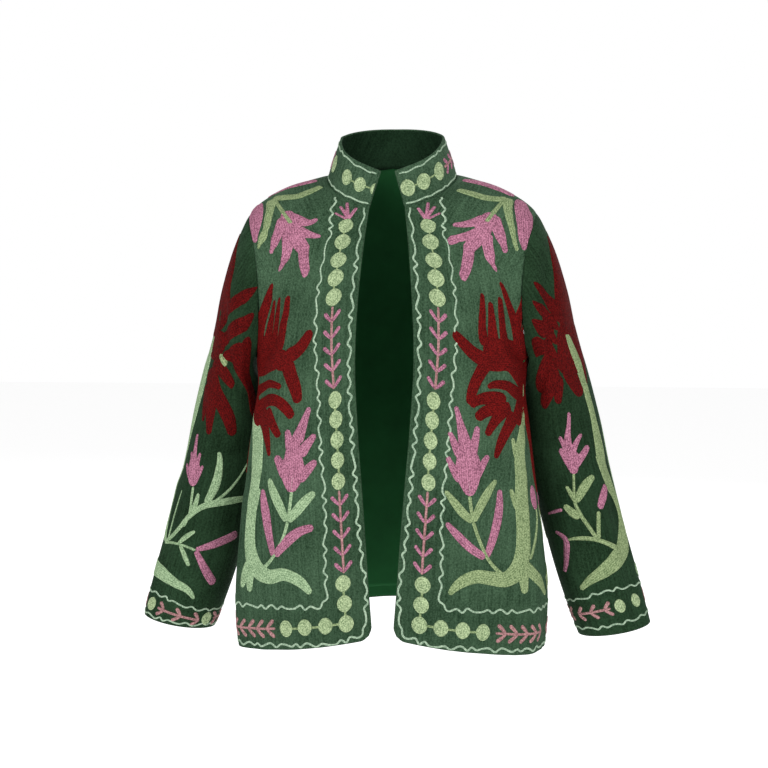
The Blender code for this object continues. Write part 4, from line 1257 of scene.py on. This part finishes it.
LEFT_FLOWERS = {
    "shoulder": [
        ("pink", [(8, 45, 662), (15, 74, 656), (15, 99, 646), (9, 120, 638)]),
        ("leaf", [(9, 46, 628), (12, 67, 620), (13, 85, 614), (13, 101, 616), (14, 114, 624)]),
        ("leaf", [(19, 113, 627), (12, 120, 600), (10, 132, 579), (8, 146, 562), (3, 161, 546)]),
        ("pink", [(14, 129, 635), (25, 138, 612), (24, 148, 592), (15, 159, 568), (7, 169, 548)]),
    ],
    "lily": [
        ("pink", [(6, 66, 552), (11, 79, 556), (15, 90, 563), (18, 100, 576)]),
        ("pink", [(6, 64, 526), (13, 83, 533), (16, 96, 543), (19, 107, 557)]),
        ("pink", [(11, 77, 486), (16, 90, 501), (18, 100, 518), (21, 105, 539), (24, 106, 562)]),
        ("pink", [(6, 144, 507), (11, 135, 518), (13, 123, 533), (17, 112, 550)]),
        ("pink", [(6, 149, 536), (12, 134, 549), (15, 120, 564), (18, 107, 580)]),
        ("pink", [(13, 105, 586), (26, 104, 568), (22, 106, 550)]),
        ("leaf", [(5, 110, 624), (7, 106, 594), (8, 103, 566)]),
    ],
    "blossom": [
        ("red", [(42, 194, 406), (46, 174, 405), (48, 146, 403), (40, 118, 402), (34, 98, 400)]),
        ("red", [(26, 182, 388), (24, 164, 391), (26, 140, 394), (28, 118, 392), (24, 98, 388)]),
        ("red", [(11, 54, 421), (17, 68, 409), (20, 83, 398), (24, 104, 391)]),
        ("red", [(6, 110, 476), (10, 106, 456), (13, 102, 436), (20, 104, 410)]),
        ("red", [(7, 121, 468), (11, 119, 448), (15, 118, 430), (20, 120, 408)]),
        ("red", [(7, 139, 478), (12, 137, 458), (16, 137, 436), (22, 140, 411)]),
        ("red", [(7, 146, 498), (11, 151, 481), (13, 157, 463), (15, 164, 443), (20, 171, 417)]),
        ("red", [(5, 181, 491), (9, 177, 477), (12, 169, 460), (15, 167, 437)]),
        ("red", [(7, 184, 466), (11, 180, 443), (18, 178, 414)]),
        ("red", [(22, 110, 394), (17, 92, 370), (15, 82, 348), (11, 79, 328)]),
        ("red", [(6, 105, 355), (11, 118, 361), (14, 134, 361), (18, 150, 357), (20, 170, 350)]),
        ("red", [(22, 192, 412), (26, 188, 386), (30, 182, 358), (28, 170, 334), (22, 152, 312)]),
        ("red", [(14, 128, 390), (20, 145, 387), (24, 163, 379), (20, 180, 364)]),
        ("red", [(9, 80, 326), (14, 92, 337), (20, 110, 341), (28, 134, 337)]),
        ("red", [(13, 89, 310), (16, 103, 323), (18, 120, 328), (18, 142, 326)]),
        ("red", [(9, 105, 290), (13, 113, 306), (17, 126, 323), (20, 144, 334)]),
        ("red", [(6, 120, 261), (13, 126, 281), (18, 136, 302), (26, 152, 325)]),
        ("red", [
            (30, 194, 352), (26, 196, 318), (32, 202, 290), (26, 205, 262), (18, 210, 238), (4, 219, 214),
        ]),
    ],
    "tulip": [
        ("pink", [(6, 59, 324), (10, 66, 303), (17, 73, 282), (20, 79, 262)]),
        ("pink", [(6, 52, 289), (11, 61, 273), (17, 72, 257)]),
        ("pink", [(7, 91, 302), (11, 89, 284), (16, 84, 261)]),
        ("pink", [(6, 52, 256), (11, 62, 240), (17, 76, 226)]),
        ("pink", [(7, 109, 265), (11, 101, 250), (17, 90, 231)]),
        ("pink", [(18, 75, 278), (29, 79, 262), (36, 82, 247), (32, 84, 231), (22, 86, 218), (8, 87, 207)]),
        ("mint", [(2, 83, 230), (3, 85, 221), (4, 87, 209)]),
        ("leaf", [(5, 87, 208), (5, 90, 193), (5, 94, 177)]),
        ("leaf", [(5, 53, 210), (11, 68, 195), (12, 81, 183), (8, 95, 174)]),
        ("leaf", [(5, 124, 233), (12, 112, 213), (12, 103, 195), (8, 95, 174)]),
        ("leaf", [(5, 95, 174), (5, 107, 148), (5, 120, 127), (6, 144, 107)]),
        ("pink", [(6, 58, 168), (11, 74, 154), (12, 94, 139), (9, 116, 128)]),
        ("pink", [(7, 131, 221), (13, 132, 190), (13, 127, 159), (9, 117, 128)]),
    ],
    "trunk": [
        ("leaf", [
            (2, 188, 366), (10, 182, 332), (18, 169, 302), (21, 161, 273), (24, 166, 238), (25, 169, 203),
            (24, 173, 168), (26, 174, 140), (27, 166, 114), (21, 148, 101), (19, 127, 101), (18, 106, 102),
            (15, 85, 92), (6, 69, 73),
        ]),
        ("leaf", [(5, 146, 292), (9, 150, 279), (11, 157, 264)]),
        ("leaf", [(5, 148, 223), (9, 154, 211), (13, 163, 196)]),
        ("leaf", [(22, 173, 118), (16, 177, 99), (11, 179, 82)]),
        ("leaf", [(18, 176, 122), (16, 194, 108), (15, 212, 95), (6, 238, 75)]),
        ("leaf", [(5, 187, 128), (5, 196, 156), (4, 200, 198)]),
        ("pink", [(5, 190, 228), (17, 196, 211), (8, 200, 194)]),
    ],
}
FLOWERS = {"right": RIGHT_FLOWERS, "left": LEFT_FLOWERS}

# %% Strokes of the sleeves
# Across is measured from the middle of the sleeve's front, towards the upper line where it is negative
SLEEVE_FLOWERS = {
    "right": [
        ("wine", [
            (8, -116, 568), (34, -100, 537), (48, -86, 505), (56, -78, 476), (58, -64, 448), (54, -46, 418),
        ]),
        ("wine", [(44, -62, 412), (42, -48, 406), (34, -34, 398), (20, -20, 392)]),
        ("wine", [(30, -50, 438), (26, -34, 449), (20, -18, 445), (11, 4, 434)]),
        ("wine", [(24, -40, 404), (22, -17, 409), (19, 4, 403), (13, 32, 394)]),
        ("wine", [
            (12, -22, 387), (15, 2, 379), (27, 22, 367), (32, 42, 356), (26, 55, 342), (18, 57, 326),
            (8, 54, 311),
        ]),
        ("wine", [(14, 20, 375), (24, 42, 370), (20, 60, 362)]),
        ("wine", [(18, -40, 384), (15, -18, 369), (12, -2, 356), (8, 13, 343)]),
        ("leaf", [(4, -27, 391), (8, -18, 381), (5, -8, 371)]),
        ("wine", [(26, -38, 362), (20, -18, 340), (20, -1, 318), (19, 11, 301), (12, 17, 282)]),
        ("wine", [(28, -42, 374), (25, -29, 342), (21, -24, 317), (13, -21, 297), (8, -19, 279)]),
        ("wine", [(16, -42, 350), (9, -37, 318), (4, -34, 295)]),
        ("leaf_lit", [
            (7, -62, 419), (17, -62, 394), (28, -66, 362), (30, -66, 333), (30, -70, 303), (28, -78, 268),
            (22, -82, 236), (17, -84, 204), (12, -82, 175), (8, -75, 142), (6, -61, 110),
        ]),
        ("pink", [(5, -41, 276), (6, -41, 264), (8, -40, 252), (10, -38, 238)]),
        ("pink", [(14, -39, 244), (22, -38, 230), (24, -36, 216), (8, -31, 200)]),
        ("pink", [(4, -48, 248), (8, -43, 236), (10, -38, 222)]),
        ("pink", [(4, -28, 251), (7, -31, 238), (9, -35, 224)]),
        ("pink", [(4, -57, 229), (8, -48, 218), (11, -37, 208)]),
        ("pink", [(4, -22, 233), (7, -26, 221), (10, -33, 208)]),
        ("leaf_lit", [(4, -31, 200), (4, -28, 181), (4, -26, 160), (5, -31, 140)]),
        ("leaf_lit", [(4, -19, 193), (8, -20, 176), (5, -25, 156)]),
        ("leaf_lit", [(3, -55, 114), (3, -57, 150), (2, -54, 190)]),
        ("leaf_lit", [
            (6, -62, 109), (7, -50, 120), (7, -38, 136), (8, -26, 156), (9, -8, 175), (11, 20, 187),
            (9, 54, 194),
        ]),
        ("leaf_lit", [(8, -5, 180), (13, 2, 203), (11, 4, 231), (5, 0, 258)]),
        ("leaf_lit", [(4, 7, 186), (5, 24, 205), (4, 35, 224), (3, 45, 247)]),
        ("leaf_lit", [(5, -61, 109), (4, -32, 114), (4, -2, 111)]),
        ("leaf_lit", [(4, -32, 114), (8, -23, 126), (4, -10, 138)]),
        ("leaf_lit", [(4, -28, 113), (8, -17, 101), (4, -5, 87)]),
        ("pink", [(6, -3, 112), (11, 16, 121), (13, 34, 131), (13, 56, 142)]),
        ("pink", [(7, -2, 111), (10, 12, 94), (12, 26, 78), (11, 39, 66)]),
        ("leaf_lit", [(14, -98, 80), (22, -72, 71), (19, -44, 66), (13, -18, 59), (10, 1, 54), (4, 16, 41)]),
        ("pink", [(8, 66, 200), (12, 80, 216), (6, 96, 228)]),
        ("pink", [(7, 66, 196), (11, 84, 190), (6, 102, 184)]),
    ],
    "left": [
        ("wine", [
            (6, -114, 566), (22, -102, 541), (36, -90, 508), (50, -80, 478), (56, -68, 450), (56, -50, 424),
        ]),
        ("wine", [(52, -56, 434), (72, -40, 410), (70, -30, 386), (52, -26, 364)]),
        ("wine", [(16, -24, 470), (26, -34, 461), (27, -40, 448), (28, -38, 432)]),
        ("wine", [(15, -1, 424), (22, -14, 428), (26, -32, 430)]),
        ("wine", [(11, 21, 393), (17, 4, 401), (22, -20, 410)]),
        ("wine", [(13, 48, 377), (15, 20, 379), (16, -13, 390)]),
        ("wine", [(20, 46, 345), (26, 30, 352), (24, 8, 363), (22, -10, 371)]),
        ("wine", [(14, 32, 322), (21, 20, 338), (24, 5, 358)]),
        ("wine", [(10, 2, 328), (16, -2, 345), (22, -8, 366)]),
        ("wine", [(17, -44, 336), (26, -34, 358), (32, -27, 382)]),
        ("wine", [(30, -80, 441), (24, -76, 404), (15, -69, 376), (5, -62, 350)]),
        ("leaf", [
            (11, -46, 424), (18, -50, 404), (20, -54, 384), (17, -56, 358), (15, -58, 329), (15, -57, 304),
            (20, -57, 275), (25, -57, 250), (26, -62, 226), (21, -70, 202), (13, -77, 180), (14, -78, 157),
            (22, -71, 134), (28, -57, 113), (25, -35, 100), (18, -10, 88), (12, 10, 79), (6, 28, 67),
        ]),
        ("leaf", [(3, -44, 250), (3, -49, 229), (3, -62, 203)]),
        ("pink", [(5, -13, 318), (6, -9, 300), (9, -5, 285), (14, -3, 266)]),
        ("pink", [(5, 7, 286), (8, 2, 271), (12, -3, 256)]),
        ("pink", [(5, -26, 285), (8, -14, 272), (12, -6, 256)]),
        ("pink", [(6, 9, 269), (10, 3, 256), (13, -4, 242)]),
        ("pink", [(7, -33, 267), (11, -21, 254), (13, -8, 241)]),
        ("pink", [(18, -4, 264), (21, -6, 251), (17, -6, 241), (6, -5, 230)]),
        ("leaf", [(10, -47, 113), (7, -30, 125), (6, -14, 134), (6, 3, 139), (3, 26, 139)]),
        ("leaf", [(6, -16, 134), (6, -8, 155), (6, -1, 174), (5, 2, 192), (4, -1, 211), (4, -5, 232)]),
        ("leaf", [(5, 0, 190), (13, -10, 204), (13, -21, 215), (6, -34, 223)]),
        ("leaf", [(4, 1, 190), (7, 5, 204), (4, 9, 216)]),
        ("leaf", [(9, 0, 168), (12, 9, 177), (6, 18, 190)]),
        ("leaf", [(6, -18, 135), (6, -23, 155), (6, -28, 173)]),
        ("pink", [(8, -30, 175), (14, -42, 191), (12, -56, 206)]),
        ("pink", [(4, 45, 152), (9, 30, 141), (10, 35, 117), (6, 48, 93)]),
        ("pink", [(3, 51, 178), (5, 36, 181), (5, 22, 183)]),
        ("leaf", [(5, 78, 140), (9, 86, 170), (5, 84, 204)]),
        ("pink", [(7, 66, 204), (11, 84, 198), (6, 102, 190)]),
    ],
}
# Sleeves are stitched flat, so the list of a cuff goes all round: the two waves, the discs and the ferns
Cuff = namedtuple("Cuff", "low_wave high_wave discs ferns")
CUFF_STOPS = (-158, -68, -34, 0, 44, 80, 158)
CUFFS = {
    "right": Cuff(
        [7, 5, 4, 4, 5, 5, 7],
        [38, 37, 36, 30, 27, 31, 38],
        [(-128, 21), (-47, 20), (45, 14), (118, 19), (142, 21)],
        [((34, 11), (-34, 18)), ((-62, 20), (-114, 21)), ((106, 18), (58, 14))],
    ),
    "left": Cuff(
        [14, 15, 14, 12, 10, 12, 14],
        [56, 57, 61, 60, 52, 52, 56],
        [(-148, 36), (-51, 38), (-20, 37), (124, 33), (150, 36)],
        [((47, 31), (-6, 36)), ((-78, 38), (-134, 37)), ((112, 32), (60, 31))],
    ),
}

# %% Strokes of the back
# The hidden back follows the fronts: the same flowers, with one large red blossom over a trunk in the middle
BACK_MIDDLE = [
    ("red", [(40, 0, 428), (42, 24, 428), (38, 46, 430), (22, 70, 434)]),
    ("red", [(36, 0, 404), (30, 24, 404), (14, 44, 406)]),
    ("red", [(8, 0, 560), (17, 0, 500), (24, 0, 436)]),
    ("red", [(7, 34, 556), (14, 25, 500), (20, 14, 436)]),
    ("red", [(7, 70, 534), (14, 48, 485), (20, 28, 434)]),
    ("red", [(8, 102, 494), (15, 70, 464), (20, 40, 432)]),
    ("red", [(9, 116, 440), (16, 82, 440), (22, 46, 428)]),
    ("red", [(12, 104, 366), (15, 88, 392), (16, 62, 406), (20, 30, 410)]),
    ("red", [(10, 68, 348), (13, 50, 374), (18, 22, 396)]),
    ("red", [(8, 32, 328), (13, 24, 360), (18, 8, 392)]),
    ("leaf", [(6, 0, 394), (13, 0, 330), (18, 0, 240), (16, 0, 160), (22, 0, 100)]),
    ("leaf", [(24, 0, 106), (20, 38, 104), (16, 76, 92), (8, 106, 72)]),
    ("leaf", [(14, 0, 106), (11, 0, 90), (7, 0, 74)]),
    ("leaf", [(5, 4, 246), (12, 22, 270), (12, 30, 296), (5, 27, 322)]),
    ("pink", [(7, 4, 650), (14, 16, 630), (12, 23, 606), (5, 22, 582)]),
    ("leaf", [(5, 0, 660), (5, 0, 620), (5, 0, 575)]),
]


def moved(table, across, up, hand=1.0):
    """The same strokes drawn somewhere else, and the other way round where hand is -1."""
    return [
        (thread, [(width, across + hand * right, up + high) for width, right, high in points])
        for thread, points in table
    ]

# %% Borders
# Each disc has its place, its radius, and how tall it is for its width, as velvet stretches at the bust
Disc = namedtuple("Disc", "across up radius tall")
FRONT_DISCS = [
    Disc(35, 544, 13.8, 0.54),
    Disc(35, 526, 14.4, 0.56),
    Disc(36, 505, 13.6, 0.62),
    Disc(36, 484, 13.0, 0.74),
    Disc(35, 460, 12.2, 0.85),
    Disc(28, 324, 9.4, 1.16),
    Disc(28, 298, 9.4, 1.16),
    Disc(28, 271, 9.4, 1.16),
    Disc(29, 244, 9.4, 1.14),
    Disc(30, 216, 9.6, 1.10),
    Disc(33, 80, 10.8, 0.98),
    Disc(33, 53, 10.6, 1.00),
    Disc(33, 26, 10.8, 1.00),
    Disc(62, 27, 10.4, 1.00),
    Disc(92, 28, 10.4, 1.02),
    Disc(121, 28, 10.2, 1.05),
]
BACK_DISCS = (0, 29, 58, 87, 116, 224, 252)
BACK_DISC_UP = 27
BACK_DISC_RADIUS = 10.4
COLLAR_DISCS = {
    "left": [Disc(10, 23, 10.4, 1.05), Disc(34, 24, 10.6, 0.98), Disc(64, 25, 10.2, 1.02)],
    "right": [
        Disc(0, 24, 5.5, 1.3),
        Disc(22, 24, 9.2, 1.02),
        Disc(46, 25, 9.4, 1.0),
        Disc(88, 26, 9.6, 1.05),
    ],
}
COLLAR_LINE_WIDTH = 2.4
COLLAR_SEAM_WIDTH = 2.6
CUFF_DISC_RADIUS, CUFF_DISC_TALL = 8.2, 1.1
COLLAR_BACK_DISCS = [Disc(172, 25, 9.4, 1.0), Disc(198, 25, 9.4, 1.0)]
COLLAR_FERNS = {"left": [(150, 78), (249, 212)], "right": [(160, 104), (249, 212)]}


def sew_front(work):
    edge = [(7, 566), (7, 430), (7, 300), (7, 150), (7, 26), (12, 9), (28, 5), (120, 5), (200, 6), (249, 6)]
    far = [(34, 603), (46, 575), (60, 540), (63, 480), (60, 430), (53, 350), (52, 260), (52, 170)]
    far += [(57, 100), (58, 64), (64, 56), (100, 56), (160, 58), (249, 60)]
    links = [
        [(35, 546), (36, 500), (36, 450)],
        [(29, 330), (28, 270), (29, 206)],
        [(33, 86), (33, 50), (33, 30)],
        [(33, 27), (80, 27), (126, 28)],
    ]
    work.line("mint", even(WAVE_WIDTH, edge), WAVE_HEIGHT)
    work.line("mint", even(WAVE_WIDTH, far), WAVE_HEIGHT)
    work.strokes([
        ("pink", [(5, 33, 551), (5, 33, 566), (4, 34, 580)]),
        ("pink", [(5, 33, 551), (5, 28, 568), (4, 23, 585)]),
        ("pink", [(5, 33, 551), (5, 24, 560), (4, 15, 569)]),
        ("pink", [(5, 34, 551), (4, 40, 561), (4, 45, 569)]),
    ])
    for link in links:
        work.line("leaf", even(LINK_WIDTH, link))
    for disc in FRONT_DISCS:
        work.disc("pale", *disc)
    work.fern((29, 338), (35, 449), 5)
    work.fern((31, 93), (30, 204), 5)
    work.fern((226, 27), (139, 28), 5, "blush")


def sew_back(work, side):
    work.line("mint", even(WAVE_WIDTH, [(0, 6), (100, 5), (200, 6), (315, 6)]), WAVE_HEIGHT)
    work.line("mint", even(WAVE_WIDTH, [(0, 58), (100, 57), (200, 59), (315, 60)]), WAVE_HEIGHT)
    work.line("leaf", even(LINK_WIDTH, [(0, 27), (60, 27), (116, 27)]))
    work.line("leaf", even(LINK_WIDTH, [(222, 27), (238, 27), (254, 27)]))
    for across in BACK_DISCS:
        work.disc("pale", across, BACK_DISC_UP, BACK_DISC_RADIUS)
    work.fern((208, 27), (134, 27), 5, "blush")
    work.fern((312, 27), (268, 27), 3, "blush")
    work.strokes(BACK_MIDDLE)
    flowers = FLOWERS[side]
    work.strokes(moved(flowers["lily"] + flowers["shoulder"][1:3], 40, 0))
    work.strokes(moved(flowers["blossom"], 88, -6))
    work.strokes(moved(flowers["tulip"], 194, 8, -1.0))
    work.strokes(moved(flowers["trunk"], 86, 0))


def sew_cuff(work, cuff):
    for wave in (cuff.low_wave, cuff.high_wave):
        work.line("mint", even(CUFF_WAVE_WIDTH, list(zip(CUFF_STOPS, wave))), CUFF_WAVE_HEIGHT)
    for across, up in cuff.discs:
        work.disc("pale", across, up, CUFF_DISC_RADIUS, CUFF_DISC_TALL)
    for base, tip in cuff.ferns:
        work.fern(base, tip, 3, "blush", length=15.0)


def sew_collar(work, side):
    work.line("mint", even(COLLAR_LINE_WIDTH, [(3, 45), (60, 46), (150, 47), (249, 47)]), wave=0.8)
    work.line("mint", even(COLLAR_SEAM_WIDTH, [(1, 3), (60, 3), (150, 3), (249, 3)]), wave=0.6)
    discs = COLLAR_DISCS[side]
    for disc in discs + COLLAR_BACK_DISCS:
        work.disc("pale", *disc)
    for base, tip in COLLAR_FERNS[side]:
        work.fern((base, 25), (tip, 25), 4, length=14.0)
    work.line("leaf", even(COLLAR_LINE_WIDTH, [disc[:2] for disc in discs[:3]]))
    work.line("leaf", even(COLLAR_LINE_WIDTH, [(172, 25), (185, 25), (198, 25)]))

# %% Stitch every panel
BACK_BASE = -0.0001  # lays the sleeve backs' flowers under those that come round from the front
OTHER = {"left": "right", "right": "left"}
pieces_sewn = {}
for side in ("left", "right"):
    work = Needlework(charts["front_" + side])
    sew_front(work)
    for flowers in FLOWERS[side].values():
        work.strokes(flowers)
    pieces_sewn["front_" + side] = work.build("embroidery_front_" + side)
    work = Needlework(charts["sleeve_" + side + "_front"])
    work.strokes(SLEEVE_FLOWERS[side])
    sew_cuff(work, CUFFS[side])
    pieces_sewn["sleeve_" + side] = work.build("embroidery_sleeve_" + side)
    work = Needlework(charts["sleeve_" + side + "_back"], BACK_BASE)
    work.strokes(moved(SLEEVE_FLOWERS[OTHER[side]], 0, 0, -1.0))
    pieces_sewn["sleeve_back_" + side] = work.build("embroidery_sleeve_back_" + side)
    work = Needlework(charts["back_" + side])
    sew_back(work, side)
    pieces_sewn["back_" + side] = work.build("embroidery_back_" + side)
    work = Needlework(charts["collar_" + side])
    sew_collar(work, side)
    pieces_sewn["collar_" + side] = work.build("embroidery_collar_" + side)
for name, piece in pieces_sewn.items():
    print(name, "embroidery has", 2 * len(piece.data.polygons), "triangles")

# %% [markdown]
# ## Camera, light and floor
# The jacket was photographed from the front, a little to one side and above its middle, in soft light. We
# set a long lens at the same place, a pale floor under the hem, and three round lights: two in front and
# one behind. The white backdrop lights the cloth less than it shows, so that the folds keep their depth.

# %% Camera
LENS = 87.5
DISTANCE = 2.6
AZIMUTH, ELEVATION = math.radians(5.2), math.radians(5.3)
TARGET = Vector((-0.012, 0.0, -0.287))
camera_data = bpy.data.cameras.new("camera")
camera_data.lens = LENS
camera = add_object("camera", camera_data)
level = math.cos(ELEVATION)
toward = Vector((math.sin(AZIMUTH) * level, -math.cos(AZIMUTH) * level, math.sin(ELEVATION)))
camera.location = TARGET + toward * DISTANCE
camera.rotation_euler = (-toward).to_track_quat("-Z", "Y").to_euler()
bpy.context.scene.camera = camera

# %% Floor and lights
FLOOR_DROP = 0.30
FLOOR_SIZE = 14.0
FLOOR_GREY = (0.85, 0.85, 0.85, 1.0)
FLOOR_GLOW = 0.45
SKY_ON_CLOTH = 0.6
SKY_SEEN = 1.0
AIM = Vector((0.0, 0.0, -0.30))
Lamp = namedtuple("Lamp", "name place size power")
LAMPS = [
    Lamp("key", (-1.1, -2.6, 1.0), 1.2, 42.0),
    Lamp("fill", (1.5, -2.3, 0.5), 1.4, 26.0),
    Lamp("back_light", (0.6, 2.4, 1.2), 1.8, 34.0),
]

floor_mesh = bpy.data.meshes.new("floor")
half = FLOOR_SIZE / 2
low = solid_box[0][2] - FLOOR_DROP
corners = [(-half, -half, low), (half, -half, low), (half, half, low), (-half, half, low)]
floor_mesh.from_pydata(corners, [], [(0, 1, 2, 3)])
floor = add_object("floor", floor_mesh)
floor_paint, floor_shader = new_material("floor_paint", 0.9)
floor_shader.inputs["Base Color"].default_value = FLOOR_GREY
floor_shader.inputs["Emission Color"].default_value = WHITE
floor_shader.inputs["Emission Strength"].default_value = FLOOR_GLOW
floor_mesh.materials.append(floor_paint)

for lamp in LAMPS:
    data = bpy.data.lights.new(lamp.name, "AREA")
    data.shape = "DISK"
    data.size = lamp.size
    data.energy = lamp.power
    light = add_object(lamp.name, data)
    light.location = lamp.place
    light.rotation_euler = (AIM - Vector(lamp.place)).to_track_quat("-Z", "Y").to_euler()

world = bpy.data.worlds.new("studio")
world.use_nodes = True
backdrop = world.node_tree.nodes["Background"]
backdrop.inputs["Color"].default_value = WHITE
rays = world.node_tree.nodes.new("ShaderNodeLightPath")
strength = world.node_tree.nodes.new("ShaderNodeMapRange")
strength.inputs["To Min"].default_value = SKY_ON_CLOTH
strength.inputs["To Max"].default_value = SKY_SEEN
world.node_tree.links.new(rays.outputs["Is Camera Ray"], strength.inputs["Value"])
world.node_tree.links.new(strength.outputs["Result"], backdrop.inputs["Strength"])
bpy.context.scene.world = world
bpy.context.scene.view_settings.view_transform = "Standard"

# %% [markdown]
# ## What each piece is
# A cutter keeps a list of the flat pieces and their sizes. Ours says the same of each shell: the width and
# length of the cloth before it was sewn, how it is held, and which solid it stands for.

# %% The cut of each piece
# Widths, lengths and areas are in metres, with the back's in one piece and a sleeve's all round
Cut = namedtuple("Cut", "width length area hangs_from embroidery")
for piece in pieces_sewn.values():
    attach(piece, "root")
for name, piece in pieces.items():
    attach(piece, "root")
    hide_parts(name)
    areas = np.zeros(len(piece.data.polygons))
    piece.data.polygons.foreach_get("area", areas)
